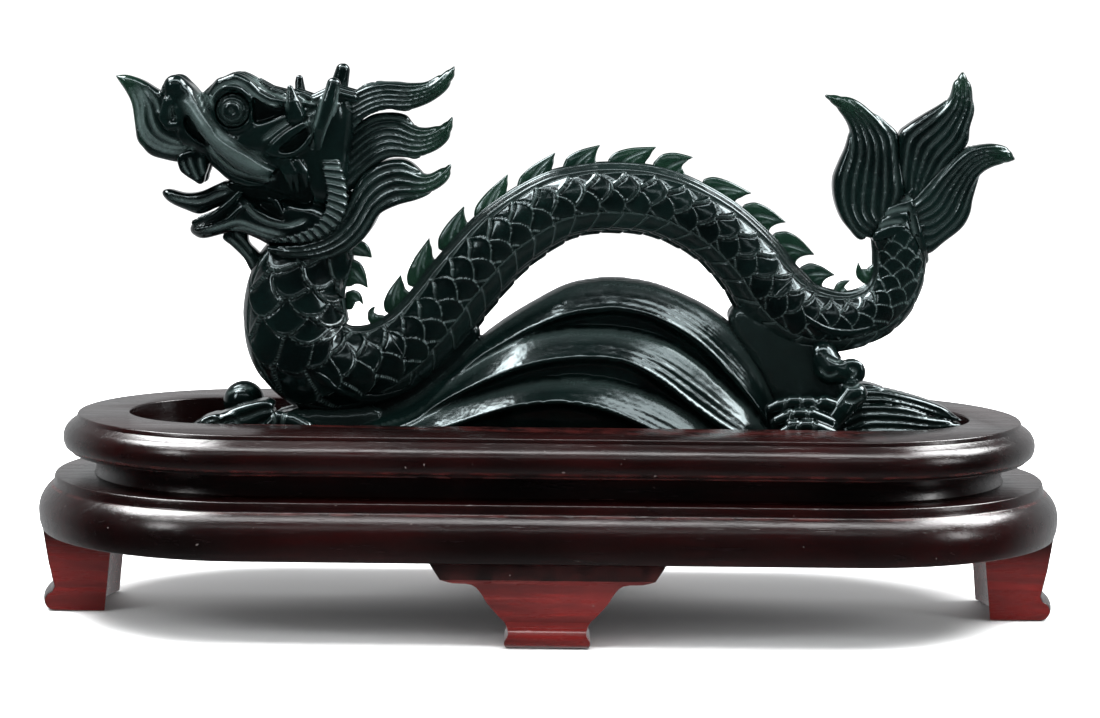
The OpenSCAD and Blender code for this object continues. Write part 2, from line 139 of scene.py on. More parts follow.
class Block:
    """A block of stone that shapes are carved from, seen from the side as x and z."""

    def __init__(self, low, high, step):
        self.low = np.array(low, float)
        self.step = step
        count = np.ceil((np.array(high) - self.low) / step).astype(int) + 1
        self.x, self.y, self.z = (a + step * np.arange(n) for a, n in zip(self.low, count))
        self.side = np.stack(np.meshgrid(self.x, self.z, indexing="ij"), -1)
        self.value = np.full(count, FAR, np.float32)
        self.cut = np.zeros((count[0], count[2]))

    def slab(self, flat, half, edge=1.0, y=0.0):
        """An outline's thickness: half is half of it, edge rounds it, y sets it out both ways."""
        if not isinstance(flat, np.ndarray):
            flat = outline_distance(self.side, spline(flat, 5, loop=True))
        if isinstance(half, np.ndarray):
            half = half[:, None, :]
        a = flat[:, None, :] + edge
        b = np.abs(np.abs(self.y) - y)[None, :, None] - half + edge
        outside = np.hypot(np.maximum(a, 0), np.maximum(b, 0))
        return outside + np.minimum(np.maximum(a, b), 0) - edge

    def join(self, shape, blend=0.6):
        self.value = blended(shape, self.value, blend).astype(np.float32)

    def remove(self, shape, blend=0.6):
        self.value = -blended(shape, -self.value, blend).astype(np.float32)

    def add(self, points, half, edge=1.0, y=0.0, blend=0.6):
        """Joins an outline of a given half thickness."""
        self.join(self.slab(points, half, edge, y), blend)

    def hollow(self, points, floor, edge=0.8, blend=0.8):
        """Cuts an outline into both sides down to a half thickness of floor."""
        self.remove(self.slab(points, FAR / 2 - floor, edge, FAR / 2), blend)

    def rod(self, path, radii, blend=0.6, both=True):
        """A tapering rod along (x, y, z) points, on both sides unless both is False."""
        path = np.array(path, float)
        radii = np.interp(np.linspace(0, 1, len(path)), np.linspace(0, 1, len(radii)), radii)
        room = max(radii) + 2 * blend + 1
        low, high = path.min(0) - room, path.max(0) + room
        i = slice(*np.searchsorted(self.x, [low[0], high[0]]))
        k = slice(*np.searchsorted(self.z, [low[2], high[2]]))
        x, z = self.x[i][:, None, None], self.z[k][None, None, :]
        y = (np.abs(self.y) if both else self.y)[None, :, None]
        best = np.full((x.size, self.y.size, z.size), FAR)
        for p, q, r0, r1 in zip(path[:-1], path[1:], radii[:-1], radii[1:]):
            run = q - p
            t = np.clip(((x - p[0]) * run[0] + (y - p[1]) * run[1] + (z - p[2]) * run[2])
                        / max(run @ run, 1e-9), 0, 1)
            gap = np.sqrt((x - p[0] - t * run[0])**2 + (y - p[1] - t * run[1])**2
                          + (z - p[2] - t * run[2])**2)
            best = np.minimum(best, gap - r0 - (r1 - r0) * t)
        self.value[i, :, k] = blended(best, self.value[i, :, k], blend)

    def limb(self, path, radii, blend):
        """A rod on one side only."""
        self.rod(path, radii, blend, both=False)

    def near(self, points, fade):
        """The distance from a line, and a share that falls to nothing at the line's ends."""
        gap, along = path_distance(self.side, spline(points))
        return gap, np.clip(np.minimum(along, 1 - along) / fade, 0, 1)

    def groove(self, points, width=0.45, depth=0.6, fade=LINE_FADE, dust_and_sheen=0.5, raised=0.0):
        """A line cut into both sides, running out at its ends; raised lifts a lip beside it."""
        gap, ends = self.near(points, fade)
        line = np.clip(1 - gap / (2 * width), 0, 1)**1.5 * ends
        lip = np.clip(1 - np.abs(gap - 2.4 * width) / (1.4 * width), 0, 1) * ends
        self.value += (depth * line - raised * lip)[:, None, :].astype(np.float32)
        self.cut = np.maximum(self.cut, dust_and_sheen * line)

    def grooves(self, *cuts):
        """Several lines, each given as its points and then groove's other values."""
        for cut in cuts:
            self.groove(*cut)

    def ridge(self, points, width, height):
        """A line left standing on both sides."""
        gap, ends = self.near(points, LINE_FADE)
        line = np.clip(1 - (gap / (2 * width))**2, 0, 1) * ends
        self.value -= (height * line)[:, None, :].astype(np.float32)

    def lock(self, upper, lower, half, ridges, depth, edge, blend=0.5, y=0.0):
        """A flame-like lock between two edge curves that end at one tip, with flowing ridges.

        half is half its thickness at the root's upper and lower edge and at the tip."""
        top, under = spline(upper), spline(lower)
        flat = outline_distance(self.side, np.vstack([top, under[::-1]]))
        d_top, along = path_distance(self.side, top)
        d_under, along_under = path_distance(self.side, under)
        wide = d_top + d_under + 1e-6
        across = soften_grid(d_top / wide, 1.5 / self.step)
        along = soften_grid(0.5 * (along + along_under), 2.0 / self.step)
        body = half[0] + (half[1] - half[0]) * across**1.5
        body = body + (half[2] - body) * np.clip(along, 0, 1)**2
        crest = np.abs(np.sin(np.pi * ridges * across))**0.55
        fresh = np.clip(ridges * 2 * np.minimum(across, 1 - across) - 0.6, 0, 1)
        room = np.clip(wide / (1.1 * ridges), 0, 1)
        valley = (1 - crest) * fresh * room
        shape = self.slab(flat, body, edge, y) + (depth * valley)[:, None, :]
        self.join(shape, blend)
        on = flat < 0.3
        self.cut[on] = (LOCK_DUST * np.clip(valley * 1.5 - 0.35, 0, 1))[on]

    def net(self):
        """The surface as points, quads and each point's share of pale colour, for dusty cuts and
        painted highlights.
        """
        v = self.value
        for axis in range(3):
            for end in (0, -1):
                face = [slice(None)] * 3
                face[axis] = end
                v[tuple(face)] = np.maximum(v[tuple(face)], 0.01)
        inside = v < 0
        n = np.array(v.shape) - 1
        filled = np.zeros(n, np.int8)
        for i, j, k in np.ndindex(2, 2, 2):
            filled += inside[i:n[0] + i, j:n[1] + j, k:n[2] + k]
        mixed = (filled > 0) & (filled < 8)
        cell = np.argwhere(mixed)
        number = np.full(n, -1)
        number[mixed] = np.arange(len(cell))
        total, hits = np.zeros((len(cell), 3)), np.zeros(len(cell))
        unit = np.eye(3, dtype=int)
        quads = []
        for axis in range(3):
            one, two = [a for a in range(3) if a != axis]
            for i, j in np.ndindex(2, 2):
                corner = i * unit[one] + j * unit[two]
                a = v[tuple((cell + corner).T)]
                b = v[tuple((cell + corner + unit[axis]).T)]
                crosses = (a < 0) != (b < 0)
                t = np.where(crosses, a / np.where(crosses, a - b, 1), 0)
                total += crosses[:, None] * (corner + t[:, None] * unit[axis])
                hits += crosses
            low, high = [slice(None)] * 3, [slice(None)] * 3
            low[axis], high[axis] = slice(None, -1), slice(1, None)
            edge = np.argwhere(inside[tuple(low)] != inside[tuple(high)])
            solid = inside[tuple(edge.T)]
            ring = [number[tuple((edge - s).T)] for s in
                    (unit[one] + unit[two], unit[two], 0 * unit[one], unit[one])]
            ring = np.stack(ring, 1)
            flip = solid if axis == 1 else ~solid
            ring[flip] = ring[flip][:, ::-1]
            quads.append(ring)
        points = self.low + self.step * (cell + total / hits[:, None])
        at = (points[:, [0, 2]] - self.low[[0, 2]]) / self.step
        base = np.clip(at.astype(int), 0, np.array(self.cut.shape) - 2)
        f, g = (at - base).T
        c = self.cut
        i, k = base.T
        dust_and_sheen = ((c[i, k] * (1 - f) + c[i + 1, k] * f) * (1 - g)
                + (c[i, k + 1] * (1 - f) + c[i + 1, k + 1] * f) * g)
        return points, np.vstack(quads), dust_and_sheen


# ---- meshes and materials ----------------------------------------------------------


def placed(name, data):
    """A new object in the scene."""
    obj = bpy.data.objects.new(name, data)
    bpy.context.scene.collection.objects.link(obj)
    return obj


def make_mesh(name, points, faces, dust_and_sheen=None, thin=None):
    """A new object from millimetre points, with its shares of pale colour, for dusty cuts and painted
    highlights, and of thin stone.
    """
    mesh = bpy.data.meshes.new(name)
    mesh.from_pydata((np.asarray(points) * MM).tolist(), [], [list(f) for f in faces])
    mesh.validate()
    for key, values in (("dust_and_sheen", dust_and_sheen), ("thin", thin)):
        if values is not None and len(values) == len(mesh.vertices):
            layer = mesh.attributes.new(key, "FLOAT", "POINT")
            layer.data.foreach_set("value", np.clip(values, 0, 1).astype(np.float32))
    mesh.update()
    mesh.shade_smooth()
    return placed(name, mesh)


def fit(obj, body, slot, material, *nodes):
    """Gives a finished piece its material, rides it on its body and hides the parts it stands for."""
    obj.data.materials.clear()
    obj.data.materials.append(material)
    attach(obj, body)
    if nodes:
        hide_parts(*nodes)
    return obj


def carved(name, blocks, material, *nodes, slot="jade", thin=None):
    """One piece of stone from the surfaces of its blocks."""
    points, faces, dust_and_sheen, start = [], [], [], 0
    for block in blocks if isinstance(blocks, list) else [blocks]:
        surface = block.net()
        points.append(surface[0])
        faces.append(surface[1] + start)
        dust_and_sheen.append(surface[2])
        start += len(surface[0])
    points = np.vstack(points)
    obj = make_mesh(name, points, np.vstack(faces), np.concatenate(dust_and_sheen), thin and thin(points))
    return fit(obj, "carving", slot, material, *nodes)


def only(obj):
    """Makes obj the one selected and active object."""
    if bpy.context.mode != "OBJECT":
        bpy.ops.object.mode_set(mode="OBJECT")
    bpy.ops.object.select_all(action="DESELECT")
    obj.select_set(True)
    bpy.context.view_layer.objects.active = obj


def group(name, setting, value, outputs):
    """An empty shader node group with one setting and named outputs."""
    tree = bpy.data.node_groups.new(name, "ShaderNodeTree")
    socket = tree.interface.new_socket(setting, in_out="INPUT", socket_type="NodeSocketFloat")
    socket.default_value = value
    for label in outputs:
        tree.interface.new_socket(label, in_out="OUTPUT", socket_type="NodeSocketFloat")
    return tree, tree.nodes.new("NodeGroupInput"), tree.nodes.new("NodeGroupOutput")


def node(tree, kind, links=None, **settings):
    """A node with its settings; links maps input names or numbers to sockets or values."""
    made = tree.nodes.new(kind)
    for key, value in settings.items():
        setattr(made, key, value)
    for key, value in (links or {}).items():
        if isinstance(value, bpy.types.NodeSocket):
            tree.links.new(value, made.inputs[key])
        else:
            made.inputs[key].default_value = value
    return made


def mix(tree, factor, a, b):
    """A colour mix's result."""
    made = node(tree, "ShaderNodeMix", data_type="RGBA")
    for socket, value in zip((made.inputs[0], made.inputs[6], made.inputs[7]), (factor, a, b)):
        if isinstance(value, bpy.types.NodeSocket):
            tree.links.new(value, socket)
        else:
            socket.default_value = value
    return made.outputs[2]


def ramp(tree, value, low, high, to_low=0.0, to_high=1.0):
    """A value's place between low and high, held between to_low and to_high."""
    return node(tree, "ShaderNodeMapRange",
                {0: value, 1: low, 2: high, 3: to_low, 4: to_high}).outputs[0]


def maths(tree, operation, a, b):
    return node(tree, "ShaderNodeMath", {0: a, 1: b}, operation=operation).outputs[0]


def scaled(tree, at, scale):
    return node(tree, "ShaderNodeVectorMath", {0: at, "Scale": scale},
                operation="SCALE").outputs[0]


def noise(tree, at, scale, detail, roughness=0.5, distortion=0.0):
    return node(tree, "ShaderNodeTexNoise",
                {"Vector": at, "Scale": scale, "Detail": detail, "Roughness": roughness,
                 "Distortion": distortion}).outputs[0]


def bump(tree, height, strength, distance, under=None, **settings):
    """A fine unevenness, over another one where under is its normal."""
    links = {"Strength": strength, "Distance": distance, "Height": height}
    if under:
        links["Normal"] = under
    return node(tree, "ShaderNodeBump", links, **settings).outputs[0]


def feed(tree, end, **values):
    """Links a group's values to its outputs of the same names."""
    for name, value in values.items():
        tree.links.new(value, end.inputs[name])
    return tree


def figure(tree, name, make):
    """A node that holds a shared group, which is made on first use."""
    made = node(tree, "ShaderNodeGroup")
    made.node_tree = bpy.data.node_groups.get(name) or make()
    return made


def new_material(name):
    """A material with no nodes yet, and its tree."""
    material = bpy.data.materials.new(name)
    material.use_nodes = True
    material.node_tree.nodes.clear()
    return material, material.node_tree


def surface(tree, colour, rough, normal, values):
    """Ends a material in one glossy surface."""
    shader = node(tree, "ShaderNodeBsdfPrincipled",
                  {"Base Color": colour, "Roughness": rough, "Normal": normal, **values})
    out = node(tree, "ShaderNodeOutputMaterial")
    tree.links.new(shader.outputs[0], out.inputs[0])


def stone_group():
    """Mottling, fine pits and a soft hand-polished unevenness of the jade."""
    tree, start, end = group("Stone Figure", "Size", 1.0, ("Mottle", "Vein", "Height", "Grit"))
    place = node(tree, "ShaderNodeTexCoord")
    at = scaled(tree, place.outputs["Object"], start.outputs["Size"])
    return feed(tree, end, Mottle=ramp(tree, noise(tree, at, 55, 5, 0.6, 0.6), 0.35, 0.68),
                Vein=ramp(tree, noise(tree, at, 120, 8, 0.7, 1.2), 0.58, 0.75),
                Height=noise(tree, at, 260, 2), Grit=noise(tree, at, 2600, 3))


def jade_material(name, deep, light, dust_colour, gloss):
    """Polished jade: dark and glossy on its high parts, pale and dull in its cuts and along painted
    highlights.
    """
    material, tree = new_material(name)
    stone = figure(tree, "Stone Figure", stone_group)
    mottle, grit = stone.outputs["Mottle"], stone.outputs["Grit"]
    dust_and_sheen = node(tree, "ShaderNodeAttribute", attribute_name="dust_and_sheen").outputs["Fac"]
    thin = node(tree, "ShaderNodeAttribute", attribute_name="thin").outputs["Fac"]
    green = mix(tree, mottle, (0.003, 0.012, 0.008, 1), (0.008, 0.026, 0.014, 1))
    body = mix(tree, thin, mix(tree, mottle, deep, light), green)
    # share of the pale colour, broken up by grit: dust in the cuts and a painted highlight on scale
    # edges and along the cheek ridge
    worn = maths(tree, "MULTIPLY", dust_and_sheen, ramp(tree, grit, 0.30, 0.62, 0.45, 1.0))
    rough = maths(tree, "ADD", ramp(tree, dust_and_sheen, 0, 1, gloss, 0.6),
                  ramp(tree, stone.outputs["Vein"], 0, 1, 0.0, 0.10))
    soft = bump(tree, stone.outputs["Height"], 0.35, 0.0004)
    surface(tree, mix(tree, worn, body, dust_colour), rough,
            bump(tree, grit, 0.12, 0.00006, soft),
            {"IOR": 1.47, "Specular Tint": (0.80, 0.97, 1.0, 1)})
    return material


def wood_group():
    """Long grain with pores, nicks and dusty specks, along x."""
    tree, start, end = group("Wood Figure", "Fineness", 1.0, ("Grain", "Pores", "Cloud", "Specks"))
    place = node(tree, "ShaderNodeTexCoord").outputs["Object"]
    long = node(tree, "ShaderNodeMapping", {"Vector": place, "Scale": (0.09, 1.0, 1.0)})
    at = scaled(tree, long.outputs[0], start.outputs["Fineness"])
    return feed(tree, end, Grain=ramp(tree, noise(tree, at, 420, 6, 0.65, 0.3), 0.35, 0.68),
                Pores=ramp(tree, noise(tree, at, 1900, 2), 0.62, 0.75),
                Cloud=ramp(tree, noise(tree, place, 28, 3), 0.35, 0.65),
                Specks=ramp(tree, noise(tree, place, 700, 1), 0.79, 0.82))


def edge_group():
    """Where lacquer has rubbed thin: a mask that is 1 on sharp outer edges."""
    tree, start, end = group("Rubbed Edge", "Wear", 0.5, ("Mask",))
    sharp = ramp(tree, node(tree, "ShaderNodeNewGeometry").outputs["Pointiness"], 0.53, 0.60)
    place = node(tree, "ShaderNodeTexCoord").outputs["Object"]
    patchy = ramp(tree, noise(tree, place, 160, 4), 0.4, 0.62)
    rubbed = maths(tree, "MULTIPLY", sharp, patchy)
    return feed(tree, end, Mask=maths(tree, "MULTIPLY", rubbed, start.outputs["Wear"]))


def wood_material(name, dark, red, worn, gloss, wear, low_red=0.0):
    """Dark red lacquer over fine-grained wood, red below a height and darker above it."""
    material, tree = new_material(name)
    wood = figure(tree, "Wood Figure", wood_group)
    rubbed = figure(tree, "Rubbed Edge", edge_group)
    rubbed.inputs["Wear"].default_value = wear
    grain, share, mask = wood.outputs["Grain"], wood.outputs["Cloud"], rubbed.outputs["Mask"]
    if low_red:
        place = node(tree, "ShaderNodeTexCoord")
        at = node(tree, "ShaderNodeSeparateXYZ", {0: place.outputs["Object"]})
        height = ramp(tree, at.outputs[2], low_red, low_red + FOOT_SHADE_RISE, 1.0, 0.0)
        share = maths(tree, "MULTIPLY", height, ramp(tree, share, 0, 1, 0.55, 1.0))
    base = mix(tree, share, dark, red)
    base = mix(tree, ramp(tree, grain, 0, 1, 0.0, 0.45), base, dark)
    base = mix(tree, mask, base, worn)
    base = mix(tree, ramp(tree, wood.outputs["Specks"], 0, 1, 0.0, 0.35), base, SPECK_COLOUR)
    rough = maths(tree, "ADD", ramp(tree, grain, 0, 1, gloss, gloss + 0.10),
                  ramp(tree, mask, 0, 1, 0.0, 0.25))
    soft = bump(tree, grain, 0.16, 0.00015)
    surface(tree, base, rough, bump(tree, wood.outputs["Pores"], 0.25, 0.0001, soft, invert=True),
            {"IOR": 1.5})
    return material


# Heights in metres: the feet are brick red up to here, and darken over the next stretch
FOOT_RED_TO, FOOT_SHADE_RISE = 0.0125, 0.009
SPECK_COLOUR = (0.20, 0.18, 0.17, 1)
LACQUER_WORN, FOOT_WORN = (0.16, 0.014, 0.01, 1), (0.30, 0.04, 0.03, 1)
LACQUER_WEAR, FOOT_WEAR, FOOT_GLOSS = 0.14, 0.2, 0.24


def material(key):
    """One of the finishes, made on first use from the panel's colours."""
    name = "finish_" + key
    if name in bpy.data.materials:
        return bpy.data.materials[name]
    stand, dragon = bpy.context.scene.stand_finish, bpy.context.scene.dragon_finish
    if key == "lacquer":
        return wood_material(name, (*stand.dark, 1), (*stand.red, 1), LACQUER_WORN, stand.gloss,
                             LACQUER_WEAR)
    if key == "foot_wood":
        return wood_material(name, (*stand.foot_dark, 1), (*stand.foot_red, 1), FOOT_WORN,
                             FOOT_GLOSS, FOOT_WEAR, FOOT_RED_TO)
    deep, light = ((dragon.light, dragon.thin) if key == "jade_thin"
                   else (dragon.deep, dragon.light))
    return jade_material(name, (*deep, 1), (*light, 1), (*dragon.dust_and_sheen, 1), dragon.gloss)


# ---- stand -----------------------------------------------------------------------

STAND_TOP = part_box("rim_moulding")[1].z / MM
WAIST_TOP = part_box("waist_band")[1].z / MM
PLINTH_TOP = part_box("plinth_moulding")[1].z / MM
FOOT_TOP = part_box("left_end_foot")[1].z / MM
PLINTH_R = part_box("plinth_moulding")[1].y / MM
END_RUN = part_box("plinth_moulding")[1].x / MM - PLINTH_R
WELL_RUN, WELL_R = 83.6, 26.2
FOOT_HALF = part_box("left_end_foot")[1].y / MM
END_STEPS = 56


def arc(centre, radius, start, stop, steps):
    """Points along an arc, with its angles in degrees."""
    angles = np.radians(np.linspace(start, stop, steps + 1))
    return [(centre[0] + radius * math.cos(a), centre[1] + radius * math.sin(a)) for a in angles]


def start_edit(name, points, edges, faces):
    """A new mesh object from metre points, in edit mode with all of it selected."""
    mesh = bpy.data.meshes.new(name)
    mesh.from_pydata(points, edges, faces)
    obj = placed(name, mesh)
    only(obj)
    bpy.ops.object.mode_set(mode="EDIT")
    bpy.ops.mesh.select_all(action="SELECT")
    return obj


def end_edit():
    bpy.ops.mesh.select_all(action="SELECT")
    bpy.ops.mesh.normals_make_consistent(inside=False)
    bpy.ops.object.mode_set(mode="OBJECT")


def oval(name, chain, run, ring=False):
    """Runs a profile of (radius, height) points round an oval, by spinning and extruding it."""
    n = len(chain)
    edges = [(i, i + 1) for i in range(n - 1)] + ([(n - 1, 0)] if ring else [])
    obj = start_edit(name, [(run * MM, -r * MM, z * MM) for r, z in chain], edges, [])
    for side in (1, -1):
        bpy.ops.mesh.spin(steps=END_STEPS, angle=-math.pi, center=(side * run * MM, 0, 0),
                          axis=(0, 0, 1))
        bpy.ops.mesh.extrude_region_move(
            TRANSFORM_OT_translate={"value": (-side * 2 * run * MM, 0, 0)})
    bpy.ops.mesh.select_all(action="SELECT")
    bpy.ops.mesh.remove_doubles(threshold=1e-6)
    if not ring:
        bpy.ops.mesh.fill_holes(sides=0)
    end_edit()
    return obj


def prism(name, outline, y0, y1):
    """A side-view outline extruded from y0 to y1."""
    obj = start_edit(name, [(x * MM, y0 * MM, z * MM) for x, z in outline], [],
                     [list(range(len(outline)))])
    bpy.ops.mesh.extrude_region_move(TRANSFORM_OT_translate={"value": (0, (y1 - y0) * MM, 0)})
    end_edit()
    return obj


def change(obj, kind, **settings):
    """Adds a modifier with its settings and applies it."""
    added = obj.modifiers.new(kind.lower(), kind)
    for key, value in settings.items():
        setattr(added, key, value)
    only(obj)
    bpy.ops.object.modifier_apply(modifier=added.name)


def combine(obj, cutter, operation):
    """Cuts obj with another closed piece, which is then removed."""
    change(obj, "BOOLEAN", operation=operation, solver="EXACT", object=cutter)
    bpy.data.objects.remove(cutter)


def soften(obj, width, segments=3):
    """Breaks the sharp edges and smooths the turned faces."""
    change(obj, "BEVEL", width=width * MM, segments=segments, limit_method="ANGLE",
           angle_limit=math.radians(40), harden_normals=False)
    bpy.ops.object.shade_smooth_by_angle(angle=math.radians(32))


def rim_moulding():
    bead = arc((PLINTH_R - 11.1, STAND_TOP - 6.2), 4.7, 62, -36, 22)
    fillet = PLINTH_R - 8.2
    lip = [(PLINTH_R - 10.2, STAND_TOP), (PLINTH_R - 9.9, STAND_TOP - 1.2)]
    foot = [(fillet, WAIST_TOP + 1), (fillet, WAIST_TOP)]
    rim = oval("rim_moulding_wood", lip + bead + foot, END_RUN)
    well = oval("well_cutter", [(WELL_R, STAND_TOP + 2), (WELL_R, WAIST_TOP - 2)], WELL_RUN)
    combine(rim, well, "DIFFERENCE")
    soften(rim, 0.45)
    return rim


def waist_band():
    band = oval("waist_band_wood", [(43.3, WAIST_TOP), (42.5, WAIST_TOP - 1.5),
                                    (42.5, PLINTH_TOP + 1), (43.1, PLINTH_TOP)], END_RUN)
    soften(band, 0.2, 2)
    return band


def plinth_moulding():
    shelf = PLINTH_R - 4.3
    chain = ([(shelf, PLINTH_TOP), (shelf + 0.3, PLINTH_TOP - 1.3)]
             + arc((PLINTH_R - 8.2, PLINTH_TOP - 9.4), 8.2, 58, 0, 22)
             + [(PLINTH_R - 0.2, FOOT_TOP + 2.2), (PLINTH_R - 0.9, FOOT_TOP)])
    plinth = oval("plinth_moulding_wood", chain, END_RUN)
    soften(plinth, 0.5)
    return plinth


def well_floor():
    low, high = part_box("well_floor")
    floor = oval("well_floor_wood", [(WELL_R, high.z / MM), (WELL_R, low.z / MM)], WELL_RUN)
    soften(floor, 0.2, 2)
    return floor


BRACKET = [(29, 21), (26.5, 17), (23.5, 16.2), (18.6, 15.8), (16.2, 13.4), (14.8, 11), (12, 7.7),
           (10.4, 6), (9.6, 3.6), (10.6, 1.6), (10.2, 0)]


def foot_skirt(name):
    """The feet's side profile run all round: every foot is cut out of it."""
    r = PLINTH_R
    flare = [(r - 18, FOOT_TOP), (r - 0.9, FOOT_TOP), (r - 1.5, 17), (r - 2.2, 12.6), (r - 3.0, 9),
             (r - 3.6, 6.3)]
    toe = arc((r - 3.6, 2.5), 2.5, 75, -90, 12) + [(r - 16, 0)]
    return oval(name, flare + toe, END_RUN, ring=True)


def end_foot(side):
    foot = foot_skirt("left_end_foot_wood" if side < 0 else "right_end_foot_wood")
    x0, x1 = sorted((side * END_RUN, side * (END_RUN + PLINTH_R + 2)))
    outline = [(x0, -1), (x1, -1), (x1, FOOT_TOP + 1), (x0, FOOT_TOP + 1)]
    combine(foot, prism("foot_cutter", outline, -FOOT_HALF, FOOT_HALF), "INTERSECT")
    soften(foot, 0.5)
    return foot


def centre_foot(side):
    foot = foot_skirt("front_centre_foot_wood" if side < 0 else "back_centre_foot_wood")
    half = [tuple(p) for p in spline(BRACKET[1:], 3)]
    outline = [(29.4, FOOT_TOP + 1), (29, FOOT_TOP)] + half + [(10.2, -1)]
    outline += [(-x, z) for x, z in outline[::-1]]
    y0, y1 = sorted((side * 1.0, side * (PLINTH_R + 3)))
    combine(foot, prism("foot_cutter", outline, y0, y1), "INTERSECT")
    soften(foot, 0.4)
    return foot


# ---- rocks and waves ------------------------------------------------------------------

BASE_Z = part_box("rock_base")[1].z / MM
WELL_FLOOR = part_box("well_floor")[1].z / MM
# The three tiers of waves, from the back and top one to the front and low one: x and z along
# the crest of each, and along its foot
WAVE_CRESTS = (
    [(-50, 49.5), (-42, 52.5), (-35, 56), (-27, 62.5), (-19, 70.5), (-12, 76), (-4, 81), (4, 85.2),
     (12, 86.9), (18, 87.1), (26, 86), (34, 83.2), (42, 79.2), (48, 74.5), (54, 66.5), (58, 59),
     (61, 49), (62.4, 43)],
    [(-56, 48), (-44, 52), (-34, 57), (-24, 65.5), (-8, 71.8), (0, 73.8), (8, 74.6), (16, 74.4),
     (24, 73.2), (32, 70.4), (40, 65), (46, 59.5), (52, 54), (57, 47.8), (60.5, 43)],
    [(-64, 46.4), (-52, 47.2), (-42, 49), (-30, 54), (-16, 58.3), (-6, 61), (2, 62), (8, 62.2),
     (16, 61.4), (26, 58.4), (34, 54.6), (42, 49), (49, 43)],
)
WAVE_FEET = (
    [(-50, 48.4), (-42, 50.4), (-34, 53.5), (-27, 60), (-19, 66.2), (-12, 70.4), (-4, 74.6),
     (4, 77.8), (12, 79.2), (18, 79.4), (26, 77.6), (34, 73.6), (40, 69), (46, 62.8), (52, 56),
     (57, 49), (61, 43)],
    [(-56, 46.6), (-44, 49.2), (-36, 51.5), (-24, 57.5), (-16, 61.4), (-8, 64.6), (0, 66.6),
     (8, 67.4), (14, 67.3), (20, 66.2), (28, 61.8), (36, 55.6), (43, 50.6), (49.5, 46.8),
     (55, 43)],
    [(-46, 45.6), (-36, 47), (-28, 49), (-16, 53.2), (-8, 55.4), (0, 56.4), (6, 56.2), (14, 54.6),
     (22, 51.4), (29, 47.8), (38, 43)],
)
# Each tier's half depth at its crest and at its foot, and the half depth of the hollow under it
WAVE_DEPTHS = ((4.5, 12.6, 7.8), (11.0, 19.0, 13.4), (16.0, 23.2, 18.0))
# Where the lines run across a tier, from its crest to its foot
WAVE_LINES = np.array((0.0, 0.14, 0.28, 0.44, 0.62, 0.8, 1.0))


def rough(points, size, height, seed):
    """Chipped unevenness of a given size, the same on every run, from summed waves."""
    rng = np.random.default_rng(seed)
    total = np.zeros(len(points))
    for octave in range(4):
        for _ in range(5):
            direction = rng.normal(size=3)
            direction *= 2 * math.pi * 1.7**octave / size / np.linalg.norm(direction)
            total += np.sin(points @ direction + rng.uniform(0, 6.28)) / 1.6**octave
    return height * total / 5


def wave_mound(step, groove):
    """Three lined tiers of waves under the arch, each rolling out over the hollow below it."""
    block = Block((-65, -25, WELL_FLOOR + 2), (63, 25, 89), step)
    x, z = block.side[..., 0], block.side[..., 1]
    half = np.zeros(x.shape)
    dust_and_sheen = np.zeros(x.shape)
    level = None
    for crest, foot, (h0, h1, hollow) in zip(WAVE_CRESTS, WAVE_FEET, WAVE_DEPTHS):
        crest, foot = spline(crest, 5), spline(foot, 5)
        top, low = (np.interp(block.x, *edge.T, left=under, right=under)[:, None]
                    for edge, under in ((crest, BASE_Z - 6), (foot, BASE_Z - 8)))
        if level is not None:
            top = np.minimum(top, level - 0.6)
        low = np.minimum(low, top - 1.2)
        u = np.clip((top - z) / (top - low), 0, 1)
        slope = np.abs(np.gradient(top[:, 0], step))[:, None]
        size = (top - low) / np.hypot(1, slope)
        near = np.min(np.abs(u[..., None] - WAVE_LINES), axis=-1) * size
        cut = bell(near, 0.42) * np.clip(size / 7.0, 0.2, 1.0)
        between = np.interp(u, WAVE_LINES, np.arange(len(WAVE_LINES)))
        bulge = 0.35 * u * np.sin(math.pi * between)**2
        band = h0 + (h1 - h0) * u**0.9 + bulge - (0.5 + 0.7 * u) * groove * cut
        on = (z <= top) & (z > low)
        half = np.where(on, band, half)
        dust_and_sheen = np.where(on, 0.22 * np.clip(1 - 2.0 * u, 0, 1), dust_and_sheen)
        under = np.clip(low - z, 0, 1)
        half = np.where(z <= low, h1 + (hollow - h1) * under, half)
        dust_and_sheen = np.where(z <= low, 0.0, dust_and_sheen)
        level = low
    half = soften_grid(half, 1)
    crest = spline(WAVE_CRESTS[0], 5)
    outline = np.vstack([[(-64, BASE_Z - 3)], [(-63.5, 46.6)], [(-56, 48)], crest,
                         [(62, BASE_Z - 3)]])
    block.join(block.slab(outline_distance(block.side, outline), half, 1.2))
    block.cut = dust_and_sheen
    block.add([(-18.4, 71.2), (-21, 74.6), (-30, 68.4), (-38, 62), (-48, 57), (-53, 49),
               (-34, 52), (-25, 62)], 4, 2.5)
    return block


def rock_base(step):
    """A low oval foot of rock with an uneven rim and top."""
    low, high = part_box("rock_base")
    block = Block((low.x / MM - 1, low.y / MM - 1, low.z / MM - 1),
                  (high.x / MM + 1, high.y / MM + 1, high.z / MM + 1.5), step)
    x, y, z = np.meshgrid(block.x, block.y, block.z, indexing="ij")
    flat = np.abs(x - 3) / 101.5
    edge = 23.6 * (1 - np.clip(flat, 0, 1)**3.2)**0.55
    swirl = 0.5 * np.sin(x / 3.1 + 2.2 * np.sin(y / 6.0)) + 0.4 * np.sin((x + 1.7 * y) / 4.3)
    block.join(np.maximum(np.abs(y) - edge + 0.4 * swirl, (z - BASE_Z + 0.35) + 0.45 * swirl))
    block.remove(block.low[2] + 1.0 - z)
    block.cut[:] = 0.12
    return block


